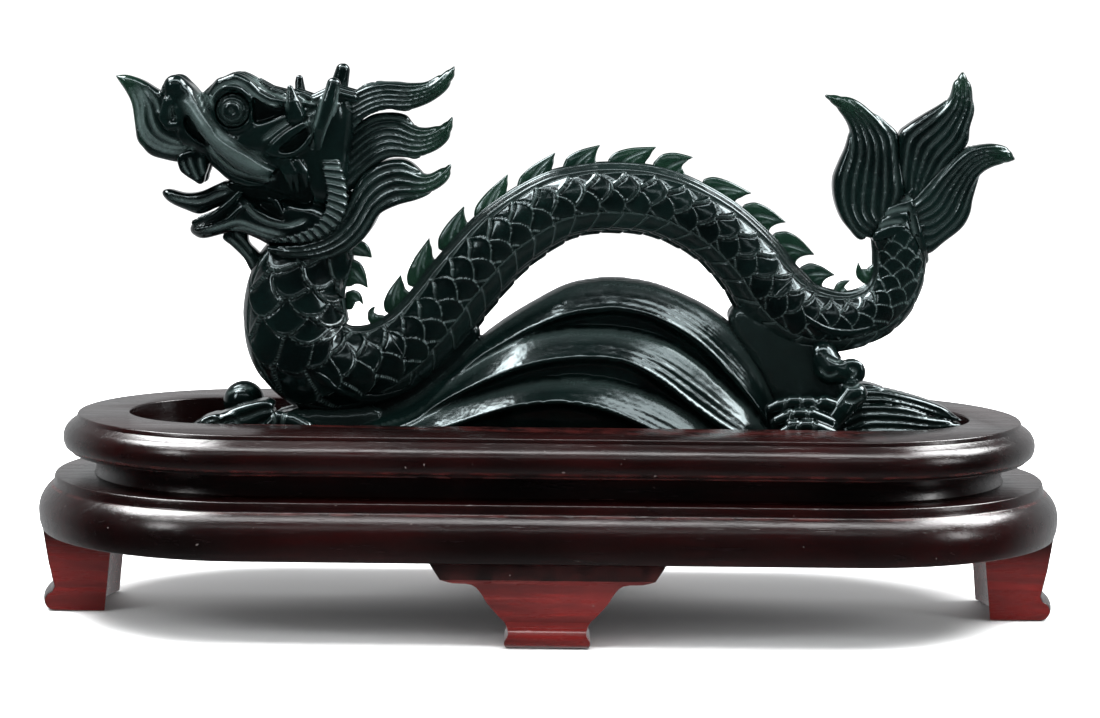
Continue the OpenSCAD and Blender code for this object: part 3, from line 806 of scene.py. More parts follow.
def rocks(step):
    """The two craggy lumps of rock that carry the bends of the body."""
    front = Block((-75, -13.5, WELL_FLOOR + 2), (-41, 13.5, 57), step)
    front.add([(-74, 45), (-72, 50), (-64, 52.5), (-54, 52.5), (-46, 53), (-43, 51.5),
               (-42.5, 45)], 8.5, 3)
    rear = Block((44, -12, WELL_FLOOR + 2), (79, 12, 82), step)
    rear.add([(46.6, 76.4), (49, 80), (56, 77), (64, 73), (73, 70), (77, 62), (79, 52),
              (79, 45), (64, 45), (58, 57), (52, 67)], 7.4, 3)
    for block, seed in ((front, 3), (rear, 4)):
        x, y, z = np.meshgrid(block.x, block.y, block.z, indexing="ij")
        points = np.stack([x, y, z], -1).reshape(-1, 3)
        chips = rough(points * (1, 1, 0.5), 7, 0.4, seed)
        block.value += chips.reshape(x.shape).astype(np.float32)
        block.cut[:] = 0.05
    return front, rear


def right_wave(step, groove):
    """Two ridged tongues of water, one lying on the other."""
    block = Block((74, -12, WELL_FLOOR + 2), (110, 12, 62.5), step)
    block.lock([(77, 58), (81, 60.3), (88, 59.2), (96, 57.2), (102, 55), (106, 52), (108.6, 50.3)],
               [(77, 50), (84, 54.4), (92, 53.8), (100, 51.6), (105, 50.6), (108.6, 50.2)],
               (4.5, 8.0, 3.0), 4, groove, 1.5)
    block.lock([(76, 51), (80, 54.6), (84, 55.2), (92, 54.6), (100, 52.2), (105, 50.6),
                (108, 49.6)],
               [(76, 45.6), (84, 45.4), (92, 45.6), (98, 46), (104, 47.6), (108, 49.4)],
               (8.0, 11.0, 4.0), 5, groove, 1.5, blend=0.2)
    return block


def left_wave(step, groove):
    """A ridged tongue of water with two curls of foam, on the near side only."""
    block = Block((-98, -20.5, WELL_FLOOR + 2), (-68, 20.5, 57), step)
    block.lock([(-96, 48.2), (-90, 50.4), (-84, 52.6), (-79, 54.6), (-73, 56), (-70.5, 55)],
               [(-96, 47), (-90, 46), (-84, 45.5), (-78, 45.5), (-73, 46), (-70.5, 50)],
               (4.5, 5.5, 4.5), 3, groove, 1.5, y=14)
    for side in (-86.5, -81.5):
        curl = [(side - 2.6, 48), (side - 1.6, 50.4), (side + 0.8, 51), (side + 2.0, 49.4),
                (side + 0.9, 48.2), (side - 0.2, 49.2)]
        block.groove(curl, 0.35, 0.7)
        block.ridge([(p[0] - 0.3, p[1] + 0.9) for p in curl[:4]], 0.5, 0.5)
    block.value = np.where((block.y > 0)[None, :, None], np.abs(block.value) + 1, block.value)
    return block


def pearl(step):
    """A ball with a short line cut over each side."""
    block = Block((-87, -4, 46.5), (-74, 10, 60), step)
    block.join(np.sqrt((block.x[:, None, None] + 80.3)**2 + (block.y[None, :, None] - 3)**2
                       + (block.z[None, None, :] - 53)**2) - 5.5)
    block.groove([(-84.8, 55.2), (-81, 57), (-77.5, 56.8)], 0.3, 0.35)
    return block


# ---- body ----------------------------------------------------------------------------

# Middle line of the body from the head to the tail, with its radius
SPINE = [
    (-60.5, 99, 9.6), (-62.2, 92.6, 10.9), (-65.9, 84.5, 12.8), (-66.7, 76, 13.5), (-65.2, 69, 13.6),
    (-60.5, 63.6, 12.8), (-53, 61.9, 11.5), (-45, 63.4, 10.5), (-38, 67.2, 10.1),
    (-32.5, 72, 10), (-27, 78.6, 9.9), (-22.2, 85, 9.8), (-12.3, 96, 9.7), (-0.5, 104.2, 9.4),
    (8, 106.9, 9.2), (17, 107.6, 9.2), (26, 106.8, 9.1), (34, 104.1, 9), (43.2, 98.8, 9),
    (51.3, 91, 9.4), (57, 83.4, 9.9), (63.5, 77.8, 9.7), (72, 75.8, 8.5), (80, 76.6, 7.5),
    (86.8, 80.4, 6.9), (90.4, 87, 6.7), (90.9, 94, 6.8), (89.6, 101, 6.2), (88.6, 106, 4.6),
]
ARCH_FROM, ARCH_TO = 8, 20
# Along the body, by spine point: length of a scale, where the back strip ends and where the
# belly plates begin (degrees from the back), and how far a scale's free edge lifts
SKIN_AT = (0, 5, 7, 9, 13, 19, 21, 23, 26, 28)
SCALE_LENGTH = (9.2, 9.2, 8.0, 6.8, 6.6, 6.6, 6.2, 5.6, 5.0, 4.6)
STRIP_EDGE = (13, 15, 25, 34, 37, 36, 33, 30, 22, 19)
PLATE_EDGE = (150, 148, 128, 114, 110, 112, 116, 124, 150, 154)
SCALE_LIFT = (0.95, 0.95, 0.9, 0.8, 0.75, 0.75, 0.6, 0.45, 0.3, 0.25)
# Degrees round the body: between rows of scales, and across the belly plates
ROW_SPACING, PLATE_WIDTH = 28.0, 37
ROWS = 12.0 + ROW_SPACING * np.arange(7)


def body_line(step):
    """Evenly spaced points along the spine: x, z, radius and spine number."""
    curve = spline([(*p, i) for i, p in enumerate(SPINE)], 12)
    run = np.r_[0, np.cumsum(np.hypot(*np.diff(curve[:, :2], axis=0).T))]
    at = np.linspace(0, run[-1], int(run[-1] / step) + 1)
    return at, np.stack([np.interp(at, run, curve[:, i]) for i in range(4)], 1)


def skin(at, line, angle, depth):
    """Raised scales, back strip, belly plates and grooves over the tube: height, and a share of pale
    colour that is dusty in the cuts and a painted highlight on the scales' free edges.
    """
    def along(values):
        return np.interp(line[:, 3], SKIN_AT, values)[:, None]
    length = along(SCALE_LENGTH)
    phase = np.r_[0, np.cumsum(np.diff(at) / (0.5 * (length[1:, 0] + length[:-1, 0])))][:, None]
    strip, plates, lift = along(STRIP_EDGE), along(PLATE_EDGE), along(SCALE_LIFT) * depth
    theta = np.abs(angle)[None, :] * 180 / math.pi
    radius = line[:, 2][:, None]
    mm = radius * math.pi / 180
    shape = (len(at), len(angle))
    first = np.full(shape, 1e9)
    share, rim = np.zeros(shape), np.full(shape, 9.0)
    found = []
    for row, centre in enumerate(ROWS):
        b = (theta - centre) / ROW_SPACING + 0 * phase
        ok = np.abs(b) < 1
        reach = np.where(ok, 1.5 - 0.56 * b**2, 0)
        slope = np.where(ok, 1.12 * np.abs(b), 9) / (ROW_SPACING * mm)
        for back in (2, 1, 0):
            start = np.floor(phase - 0.5 * (row % 2)) - back + 0.5 * (row % 2)
            w = phase - start
            gap = (reach - w) / np.hypot(1 / length, slope)
            found.append((start, gap, ok))
            top = ok & (w < reach) & (start < first - 1e-6)
            first = np.where(top, start, first)
            share = np.where(top, w / np.maximum(reach, 1e-6), share)
            rim = np.where(top, gap, rim)
    shadow = np.full(shape, 9.0)
    for start, gap, ok in found:
        above = ok & (start < first - 1e-6) & (gap < 0)
        shadow = np.where(above, np.minimum(shadow, -gap), shadow)
    height = lift * (share**1.3 - 0.55) + 0.30 * lift * np.exp(-(rim - 0.35)**2 / 0.10)
    height -= 0.55 * lift * bell(shadow, 0.32)
    # pale dust in the step under each scale's edge, and a thin pale line on each free edge that is
    # partly dust and partly a painted highlight
    dust_and_sheen = 0.10 * bell(shadow, 0.28) + 0.42 * bell(rim, 0.20)
    on_strip = np.clip((strip - theta) * mm / 0.25 + 0.5, 0, 1)
    ridge = bell((theta - 13) * mm, 0.55)
    flat_strip = 0.25 + 0.5 * ridge * depth - 0.25 * bell((theta - 7) * mm, 0.8)
    height = height * (1 - on_strip) + flat_strip * on_strip
    dust_and_sheen = dust_and_sheen * (1 - on_strip) + 0.05 * on_strip
    slant = phase + (theta - plates) / 60
    saw = slant - np.floor(slant)
    plate = depth * (0.20 * saw - 0.05) + 0.05
    line_gap = np.minimum(saw, 1 - saw) * length
    plate -= 0.55 * depth * bell(line_gap, 0.36)
    on_plates = np.clip((theta - plates) * mm / 0.25 + 0.5, 0, 1)
    belly = np.clip((theta - plates - PLATE_WIDTH) * mm / 0.3 + 0.5, 0, 1)
    height = height * (1 - on_plates) + plate * on_plates
    dust_and_sheen = dust_and_sheen * (1 - on_plates) + on_plates * (0.40 * bell(line_gap, 0.3) + 0.03)
    under = plate - 0.35 * depth + 0.25 * depth * np.cos((theta - plates - PLATE_WIDTH) / 4.2)
    height = height * (1 - belly) + under * belly
    for border in (strip, plates, plates + PLATE_WIDTH):
        height -= 0.5 * depth * bell((theta - border) * mm, 0.42)
        dust_and_sheen = np.maximum(dust_and_sheen, 0.3 * bell((theta - border) * mm, 0.3))
    return height - 0.15, dust_and_sheen


def body_part(name, first, last, step, sides, depth, material):
    """A stretch of the scaly body between two numbers of the spine, as a closed tube."""
    at, line = body_line(step)
    angle = (np.arange(sides) + 0.5) / sides * 2 * math.pi - math.pi
    height, dust_and_sheen = skin(at, line, angle, depth)
    a = int(np.argmin(np.abs(line[:, 3] - first)))
    b = int(np.argmin(np.abs(line[:, 3] - last)))
    way = np.gradient(line[:, :2], axis=0)
    way /= np.linalg.norm(way, axis=1)[:, None]
    rows = slice(a, b + 1)
    r = line[rows, 2][:, None] + height[rows]
    back = np.stack([-way[rows, 1], way[rows, 0]], 1)
    reach = r * np.cos(angle)
    points = np.stack([line[rows, 0][:, None] + back[:, :1] * reach, r * np.sin(angle),
                       line[rows, 1][:, None] + back[:, 1:] * reach], -1)
    n = b - a + 1
    points = points.reshape(-1, 3)
    ends = np.array([[line[a, 0], 0, line[a, 1]], [line[b, 0], 0, line[b, 1]]])
    i, k = np.meshgrid(np.arange(n - 1), np.arange(sides), indexing="ij")
    k2 = (k + 1) % sides
    row, after = i * sides, (i + 1) * sides
    quads = np.stack([row + k, row + k2, after + k2, after + k], -1)
    faces = quads.reshape(-1, 4).tolist()
    hub = n * sides
    faces += [(hub, (q + 1) % sides, q) for q in range(sides)]
    last_row = (n - 1) * sides
    faces += [(hub + 1, last_row + q, last_row + (q + 1) % sides) for q in range(sides)]
    dust_and_sheen = np.r_[dust_and_sheen[rows].ravel(), 0, 0]
    obj = make_mesh(name, np.vstack([points, ends]), faces, dust_and_sheen)
    return fit(obj, "carving", "jade", material, name.replace("_scales", ""))


def on_body(x, z):
    """How far out the side of the body lies at a point of the side view."""
    curve = spline(SPINE, 8)
    gap = np.hypot(curve[:, 0] - x, curve[:, 1] - z)
    best = np.argmin(gap - curve[:, 2])
    return math.sqrt(max(curve[best, 2]**2 - gap[best]**2, 4.0))


FRONT_FOLD = [(-60, 62.6), (-58, 61), (-54, 57.6), (-46, 55.8), (-38, 57.6), (-33, 60.6)]
REAR_FOLD = [(65, 79), (68, 76.4), (73, 74.2), (80, 74.2), (87, 76.6)]
FOLD_RADII = [0.5, 1.1, 1.3, 1.1, 0.5]


def fold(points, step):
    """A raised fold lying along both sides of the body."""
    path = spline(points, 3)
    path = [(x, on_body(x, z) - 0.5, z) for x, z in path]
    low, high = np.min(path, 0) - 4, np.max(path, 0) + 4
    block = Block((low[0], -high[1], low[2]), (high[0], high[1], high[2]), step)
    block.rod(path, FOLD_RADII)
    return block


FIN_THINNESS = 0.55
# Fins along the back: root x, z, heel x, z and tip x, z, each leaning towards the tail
FINS = [
    (-52.5, 96, -52, 92, -46.6, 91.4), (-52.4, 91, -51.8, 84, -47.6, 83.3),
    (-52, 83, -51.6, 78, -48.8, 79), (-47.5, 75, -43.5, 76.5, -45.6, 79),
    (-42.5, 77, -37.4, 83, -39, 87.4), (-36.5, 84, -30.6, 91.5, -31.7, 97),
    (-28.7, 93.5, -21.2, 100.8, -22.6, 105.5), (-19.6, 102, -11.6, 108.6, -11.2, 114),
    (-8.6, 109.6, 0, 114.2, 1, 119.6), (3, 114.8, 11.8, 116.6, 12.6, 121.6),
    (14.5, 116.4, 24, 116.4, 27.2, 121.2), (26, 116, 36, 112.8, 36.8, 118.6),
    (39, 112, 47.6, 107, 52.2, 109.3), (49.4, 105.6, 56.6, 99, 61.2, 101.8),
    (57.4, 98.4, 63.6, 90.8, 68.8, 93.4), (64.6, 89.6, 70.8, 85, 74.3, 88.2),
    (73.6, 83.4, 79.4, 83, 78.2, 87), (82, 86, 84, 91.5, 80, 91.8),
]


def fin(root, heel, tip, step):
    """One leaf-shaped fin: a full outer edge, a hollow heel and a cut vein."""
    root, heel, tip = (np.array(p, float) for p in (root, heel, tip))
    size = np.linalg.norm(heel - root)
    along = (heel - root) / size
    up = np.array([-along[1], along[0]])
    reach, high = (tip - root) @ along, (tip - root) @ up

    def at(a, b):
        return root + along * a + up * b
    if high < 1.5:
        up, high = (tip - root) / np.linalg.norm(tip - root), np.linalg.norm(tip - root)
        reach = 0.0
    outer = spline([at(0.1 * size, -1.6), at(0, 0.1 * high), at(0.04 * size, 0.36 * high),
                    at(0.16 * reach + 0.02 * size, 0.70 * high), at(0.50 * reach, 0.93 * high),
                    tip])
    inner = spline([tip, at(reach - 0.12 * size, 0.74 * high),
                    at(reach - 0.20 * size, 0.45 * high),
                    at(0.5 * (reach + size) - 0.14 * size, 0.18 * high), at(size, -0.2),
                    at(size, -1.6)])
    corners = np.vstack([outer, inner])
    low, top = corners.min(0) - 1.2, corners.max(0) + 1.2
    block = Block((low[0], -2.4, low[1]), (top[0], 2.4, top[1]), step)
    flat = outline_distance(block.side, corners)
    rise = np.clip(((block.side - root) @ up) / high, 0, 1)
    block.join(block.slab(flat, 1.55 - 1.0 * rise + 0.25 * np.clip(-flat, 0, 1.5), 0.45), 0.2)
    vein = [at(0.30 * size, 0.02 * high), at(0.30 * size + 0.2 * reach, 0.40 * high),
            at(0.25 * size + 0.5 * reach, 0.70 * high), at(0.12 * size + 0.8 * reach, 0.88 * high)]
    block.groove(vein, 0.22, 0.42, 0.3, 0.7)
    block.groove([at(0.62 * size, 0.0), at(0.58 * size + 0.1 * reach, 0.30 * high),
                  at(0.42 * size + 0.42 * reach, 0.58 * high)], 0.18, 0.3, 0.3, 0.5)
    return block


# ---- tail ---------------------------------------------------------------------------


def tail_lobes(step, groove):
    """Front, top and rear lobes of the tail, each with ridges flowing to its tip."""
    front = Block((69, -6.5, 94), (94, 6.5, 137), step)
    front.lock([(83, 98), (80, 97.6), (77.6, 100), (75, 103.5), (73.2, 108.5), (72.9, 113.5),
                (74.2, 117.5), (76, 122), (76.4, 126), (75.2, 129.5), (72.7, 132.4), (70.4, 134.6)],
               [(88, 103), (91.5, 110), (91, 116), (90, 121), (89.5, 125.2), (86.5, 128.3),
                (83, 131.3), (78.5, 134), (74, 135), (70.4, 135.2)],
               (4.4, 4.6, 2.2), 7, groove, 2.2)
    top = Block((87, -6.5, 106), (111.5, 6.5, 143), step)
    top.lock([(92, 108), (90.3, 113), (89.6, 119), (89.8, 125.2), (92, 127.6), (96.5, 130.6),
              (100.5, 133.2), (102.6, 135.8), (103.8, 138.8), (105.9, 141.5)],
             [(95, 107), (99, 112.5), (104, 118.5), (107.6, 122.8), (108.2, 127), (109.4, 131.5),
              (109, 136), (107.6, 139.2), (106.2, 141.4)],
             (4.8, 3.6, 2.0), 6, groove, 2.2)
    rear = Block((90, -6.5, 92.5), (122, 6.5, 125), step)
    rear.lock([(91, 106), (95, 110.5), (100, 116), (104, 119.8), (107.6, 122.4), (111, 123.1),
               (115, 123), (118.4, 121.7), (120.1, 119.2)],
              [(94, 98), (96, 95), (98.4, 94.4), (102, 97.3), (106.5, 101), (108.6, 104.8),
               (109.4, 109), (111.3, 114), (114.5, 116.8), (117.5, 117.8), (120.1, 118.6)],
              (5.2, 4.4, 2.2), 7, groove, 2.2)
    return front, top, rear


def stalk_end(step):
    """Layered scales where the scaly stalk ends over the tail, and the rib behind them."""
    block = Block((81, -8, 90), (99, 8, 114), step)
    block.add([(84.2, 96), (83.6, 101), (84.6, 104.2), (88.5, 107), (93, 112), (94.4, 111),
               (93.2, 106), (93.6, 100), (93, 95), (88, 93)], 5.0, 2.4)
    for layer, z in enumerate((99.2, 102.4, 105.4)):
        x = 84.2 + 1.6 * layer
        block.add([(x - 0.8, z - 1.6), (x - 0.6, z + 0.8), (x + 2.6, z + 2.3), (x + 5.6, z + 2.9),
                   (x + 7.6 - layer, z + 2.2), (x + 5.8, z + 0.2), (x + 3, z - 0.8)],
                  6.5 - 0.5 * layer, 1.0, blend=0.2)
        block.groove([(x - 0.6, z + 1.6), (x + 2.6, z + 3.2), (x + 6.6, z + 3.7)], 0.5, 1.1, 0.05)
    block.rod([(97.2, 0, 92.5), (96.2, 3.6, 96), (94.6, 5.0, 100), (93.6, 4.8, 104),
               (92.8, 4.0, 108)], [1.2, 1.6, 1.5, 0.9])
    block.groove([(95.5, 94.5), (94.2, 99), (92.8, 104), (92.0, 107.5)], 0.35, 0.7)
    block.hollow([(94.1, 99.0), (94.7, 99.0), (94.7, 99.6), (94.1, 99.6)], 3.2, 0.3, 0.2)
    return block


# ---- head ---------------------------------------------------------------------------

# Lines on the cheeks are drawn in the middle plane's view, and set back by this much
FACE = (1.0, 0.4)
EYE_X, EYE_Z = -81.8, 129.8


# Lines that flow up the flame of the upper lip, from its outer edge inwards
FLAME_LINES = (
    [(-109.4, 135.6), (-107.4, 131.0), (-106.8, 126.2), (-105.2, 122.4), (-102, 119.9),
     (-97.8, 118.7), (-94, 119.0), (-91.6, 120.6)],
    [(-108.2, 135.9), (-106.1, 131.4), (-105.9, 126.7), (-104.3, 123.3), (-101.1, 120.8),
     (-97.2, 119.8), (-93.3, 120.2)],
    [(-107.6, 136), (-104.6, 131.2), (-103.4, 126.7), (-101.7, 123.6), (-98.5, 121.6),
     (-95.2, 121)],
    [(-105.6, 135.2), (-102.7, 131.9), (-101.6, 128.7)],
)
# Each fang of the deep corner of the mouth: root x, z, point x, z and how far out it stands
FANGS = ((-70.2, 117.2, -66.6, 109.6, 11.4), (-67.8, 117.4, -65.0, 109.4, 12.0),
         (-65.2, 117.0, -62.8, 110.4, 12.4))


def moved(points, by=FACE):
    """Points of the side view set back by a shift."""
    return [(x + by[0], z + by[1]) for x, z in points]


def head(step):
    """Skull, upper lip flame, lower jaw and ears in one block."""
    block = Block((-115, -15.4, 86), (-50, 15.4, 142), step)

    def line(points, *sizes):
        block.groove(moved(points), *sizes)

    def pocket(points, *sizes):
        block.hollow(moved(points), *sizes)

    x = block.side[..., 0]
    plan = 13.2 * np.sqrt(np.clip(1 - ((x + 68) / 40.0)**2, 0.02, 1))
    # skull, set in at the brow and full at the cheeks
    skull = outline_distance(block.side, spline(
        [(-101, 133), (-99.3, 136), (-97, 137.6), (-94, 136.4), (-90, 133.8), (-87.5, 134.6),
         (-84.5, 136.8), (-81, 137.4), (-77, 136), (-73.5, 134.4), (-69, 134), (-63, 133.4),
         (-58, 133.8), (-53, 133.6), (-51, 128), (-52, 118), (-53, 109), (-58, 104.5),
         (-66, 106.8), (-73, 109.3), (-80, 110.3), (-84, 112), (-88, 115.4), (-92, 117.4),
         (-97, 120), (-100.6, 127)], 5, loop=True))
    block.join(block.slab(skull, np.minimum(plan - 1.6, 11.0), 6.0))
    # lower jaw
    jaw_half = np.interp(x, [-94, -88, -76, -60], [5.0, 7.4, 9.5, 12.0])
    jaw = outline_distance(block.side, spline(
        [(-93.8, 98.3), (-92.5, 96.9), (-90, 96.3), (-85, 97.6), (-81, 98.3), (-76, 96.6),
         (-72, 94.8), (-66, 94.3), (-60, 96.5), (-56, 101), (-58, 104.5), (-66, 106.8),
         (-72, 106), (-78, 106.8), (-81, 108.3), (-85, 104.7), (-89, 101.8), (-93, 100.2)],
        5, loop=True))
    block.join(block.slab(jaw, jaw_half, 3.6), 1.0)
    block.add([(-84.5, 111), (-80, 111), (-70, 111.5), (-60, 110), (-57, 104), (-66, 104),
               (-74, 104), (-79, 105.6), (-83, 108)], 4.6, 1.6, blend=0.8)
    # flame of the upper lip
    block.lock([(-95, 127), (-98, 132), (-101, 134), (-103, 135.2), (-106, 137), (-110, 138.3),
                (-113.2, 138.2)],
               [(-89, 120), (-93, 117.2), (-96.2, 116), (-101, 116.8), (-104, 117.8),
                (-106, 119.8), (-107.5, 122), (-108.2, 127), (-109, 131), (-110.4, 133.8),
                (-112.5, 136.8), (-113.3, 138)],
               (5.6, 4.6, 1.6), 1, 0.0, 2.0, 0.8)
    for flow in FLAME_LINES:
        block.groove(flow, 0.42, 0.95, 0.12, 0.8, raised=0.12)
    # nose: a full lobe on each side of the bridge, with a curled nostril in it
    block.rod([(-98.4, 3.4, 134.6), (-97.2, 4.4, 135.4), (-95.4, 5.0, 134.0)], [2.6, 3.2, 2.6], 1.2)
    block.rod([(-97.6, 4.8, 134.6), (-98.6, 5.8, 131.4), (-98.8, 6.2, 128.4)], [1.2, 1.9, 1.6], 0.8)
    block.rod([(-99.8, 6.0, 130.6), (-100.4, 6.2, 127.6), (-98.6, 6.6, 125.4), (-96.2, 7.0, 125.6),
               (-95.6, 7.2, 127.6), (-96.6, 7.0, 129.8), (-98.4, 6.4, 131.4)],
              [0.8, 1.1, 1.2, 1.1, 0.9, 0.8, 0.6], 0.6)
    line([(-98.8, 130.2), (-98.8, 127.8), (-97.4, 127.0)], 0.5, 0.9, 0.1, 0.3)
    pocket([(-95.6, 126), (-94.2, 130), (-92.8, 127.4), (-90.4, 123.4), (-89.2, 120.6),
            (-91.8, 121.4), (-94.4, 123.4)], 5.6, 1.0, 1.2)
    # polished ridge from the bridge down over the cheek
    block.rod([(-95.2, 4.0, 135.0), (-92.6, 7.0, 130.6), (-88.6, 9.6, 125.4), (-84.4, 10.9, 121.2),
               (-79.4, 11.8, 117.2), (-73.6, 12.2, 113.8), (-69.0, 12.2, 112.6)],
              [1.7, 2.1, 2.5, 2.8, 2.9, 2.4, 1.6], 1.0)
    # a line of no depth paints the ridge pale: dull scraped stone on its lower part and a painted
    # reflection on its upper part
    line([(-95.8, 133.4), (-92.4, 128.4), (-88.2, 123.0), (-83.4, 118.8), (-77.6, 115.6),
          (-72.6, 113.8)], 1.5, 0.0, 0.12, 0.42)
    line([(-93.4, 134.4), (-90.4, 129.6), (-87.2, 125.0), (-83.4, 121.8), (-77.4, 118.0),
          (-73.6, 115.6)], 0.45, 0.9, 0.1, 0.6)
    # wrinkles over the bridge of the nose
    for i in range(3):
        dx = 1.7 * i
        line([(-93.8 + dx, 137.0 - dx), (-91.6 + dx, 132.6 - 0.4 * dx), (-89.8 + 0.6 * dx, 129.4)],
              0.3, 0.55, 0.3)
    # lip under the ridge
    block.rod([(-89.2, 7.6, 119.6), (-86.6, 8.6, 116.2), (-82.2, 9.6, 112.8), (-76.6, 10.6, 110.8),
               (-70.6, 11.2, 110.4)], [0.8, 1.1, 1.2, 1.1, 0.8], 0.4)
    line([(-89.6, 121.0), (-87.4, 117.6), (-83.0, 114.0), (-77.0, 112.2), (-72.0, 111.6)], 0.5,
          1.1, 0.1, 0.8)
    # cheek plate behind and under the eye
    block.add(moved([(-87.4, 124.6), (-82, 123.6), (-77, 126), (-70, 128.4), (-64, 129.6),
                     (-63.6, 127.4), (-67.6, 125.0), (-71.8, 121.6), (-75.4, 118.8),
                     (-80.4, 119.2), (-84.6, 121.4)]), 11.6, 2.2, blend=1.2)
    line([(-88, 125.2), (-85.6, 122.4), (-80.4, 119.6), (-75, 118.2)], 0.4, 0.7)
    # brow: three bands that roll over the eye and run back
    block.rod([(-89.2, 7.6, 130.6), (-87.6, 9.0, 133.4), (-84.8, 9.8, 136.3), (-81.2, 10.2, 137.4),
               (-78.0, 10.6, 136.2), (-75.6, 11.2, 133.8), (-72.2, 11.4, 132.2),
               (-68.6, 11.4, 132.0)], [0.8, 1.2, 1.7, 2.0, 1.9, 1.6, 1.3, 0.9], 0.9)
    for out, top in ((3.6, 139.0), (7.4, 138.6)):
        block.rod([(-89.5, out - 1, 133.2), (-85.6, out, top - 2.9), (-81.6, out, top - 1.5),
                   (-77.6, out, top - 2.5), (-73, out, top - 4.6), (-67, out, top - 5.6)],
                  [1.0, 1.8, 2.2, 2.0, 1.6, 1.2], 1.0)
    for out, z in ((1.8, 132.6), (5.2, 133.0), (8.8, 132.2)):
        block.rod([(-71, out, z - 0.2), (-66.4, out, z + 0.8), (-62.0, out + 0.6, z - 0.4),
                   (-56.4, out, z + 2.0), (-51, out, z + 1)], [1.0, 1.5, 1.2, 1.5, 1.0], 0.5)
    block.rod([(-88.6, 9.2, 129.6), (-87.0, 10.8, 133.2), (-83.8, 11.8, 135.6), (-80.2, 12.0, 135.0),
               (-77.6, 12.0, 133.0), (-74.4, 12.0, 131.0), (-70.4, 12.0, 130.0)],
              [0.6, 0.9, 1.1, 1.1, 0.9, 0.7, 0.5], 0.35)
    line([(-89.0, 130.6), (-87.4, 134.2), (-84.4, 136.2), (-81.0, 136.4), (-77.8, 134.0),
          (-74.2, 131.6), (-70.4, 130.6)], 0.35, 0.8, 0.1, 0.9)
    line([(-86.8, 137.6), (-83.6, 139.4), (-80.4, 139.2), (-77.2, 136.8), (-73.8, 134.4),
          (-69.6, 133.4)], 0.35, 0.7, 0.1, 0.7)
    # eye socket and its lids
    pocket([(-87.6, 130), (-86.6, 133.6), (-83.4, 134.8), (-80, 133.4), (-78.8, 130),
            (-79.4, 126.2), (-82.6, 124.8), (-86, 126.2)], 8.2, 0.8, 0.8)
    block.rod([(a, 10.9, c) for a, c in arc((EYE_X, EYE_Z), 5.2, 0, 360, 24)], [0.75, 0.75], 0.4)
    # dark hollow behind the eye
    pocket([(-77.6, 127.6), (-77.4, 132.6), (-75.2, 131.4), (-72.0, 130.0), (-68.2, 129.4),
            (-70.6, 128.2), (-74.6, 126.6), (-76.8, 126.2)], 7.4, 0.8, 0.9)
    # ear leaf with a hollow, rolled at its edge
    block.add(moved([(-74.4, 118.6), (-71, 122.4), (-67, 125.2), (-63, 127.4), (-60.4, 127.2),
                     (-61.4, 123.8), (-63.4, 120.4), (-66.4, 118.0), (-70.4, 117.2)]),
              13.6, 1.4, blend=0.6)
    pocket([(-70.8, 119.4), (-68, 122.4), (-64.6, 124.8), (-62.8, 125.0), (-64.0, 122.0),
            (-66.4, 119.6), (-68.8, 118.8)], 10.2, 0.7, 0.7)
    block.ridge(moved([(-73.6, 119.8), (-69.6, 123.6), (-65.6, 126.0), (-61.6, 127.2)]), 0.4, 0.5)
    line([(-75.4, 121.6), (-71, 125.2), (-66, 128.0), (-61, 129.6)], 0.45, 1.0)
    # mouth: the deep corner, its fangs and the pocket in the jaw
    pocket([(-74.6, 110.4), (-72.4, 113.4), (-69.4, 115.0), (-66.0, 113.2), (-63.4, 110.2),
            (-62.4, 106.8), (-64.4, 104.8), (-69, 105.8), (-74, 107.4), (-79.6, 108.6),
            (-79.0, 109.6)], 5.4, 0.8, 0.9)
    for x0, z0, x1, z1, out in FANGS:
        block.rod([(x0, out - 1, z0), (0.5 * (x0 + x1) + 0.6, out, 0.5 * (z0 + z1) + 0.6),
                   (x1, out - 1, z1)], [1.2, 1.15, 0.45], 0.4)
    pocket([(-76.4, 104.6), (-76.2, 106.6), (-74.2, 107.4), (-72.0, 106.0), (-70.6, 103.8),
            (-70.0, 101.4), (-72.4, 102.0), (-74.8, 103.2)], 5.6, 0.7, 0.7)
    block.rod([(-77.6, 9.6, 105.4), (-75.6, 10.2, 103.6), (-72.6, 10.6, 102.0), (-69.4, 10.8, 101.2)],
              [0.5, 0.8, 0.9, 0.6], 0.3)
    block.rod([(-72.6, 10.0, 107.4), (-70.8, 10.4, 106.4), (-69.2, 10.6, 103.6)],
              [0.6, 0.9, 0.5], 0.3)
    for points, size in (
            ([(-93.2, 6.6, 100.2), (-88.4, 8.2, 102.0), (-85, 8.8, 104.6), (-81.2, 9.2, 108.2)], 0.8),
            ([(-92.6, 6.4, 98.4), (-88, 7.9, 99.2), (-84, 9.0, 101.4), (-81, 9.4, 104.2),
              (-78.8, 9.8, 105.2)], 0.7)):
        block.rod([(a + 1.0, b, c + 0.4) for a, b, c in points], [size, size * 1.2, size], 0.3)
    line([(-91.6, 97.8), (-86.6, 99.2), (-81.6, 100.6), (-76, 99.0), (-69, 97.4)], 0.4, 0.8, 0.15,
          0.8)
    line([(-80.4, 106.4), (-78.2, 103.2), (-74.6, 101.0), (-69, 100.0), (-63.4, 101.8)], 0.4, 0.9,
          0.15, 0.8)
    line([(-84.4, 98.6), (-80, 99.0), (-75, 97.4), (-69, 96.0)], 0.35, 0.6)
    # crown between the horns
    block.groove([(-76, 137.2), (-72, 134.4), (-66, 132.6), (-60, 132.4)], 0.4, 0.6)
    line([(-66, 133.4), (-62.4, 131.6), (-59.8, 132.4)], 0.4, 0.7)
    line([(-62.6, 128.8), (-61.4, 124.4), (-62.6, 119.4)], 0.5, 1.0)
    line([(-65.8, 130.6), (-63.8, 126.8), (-62.8, 123.0)], 0.4, 0.8)
    return block


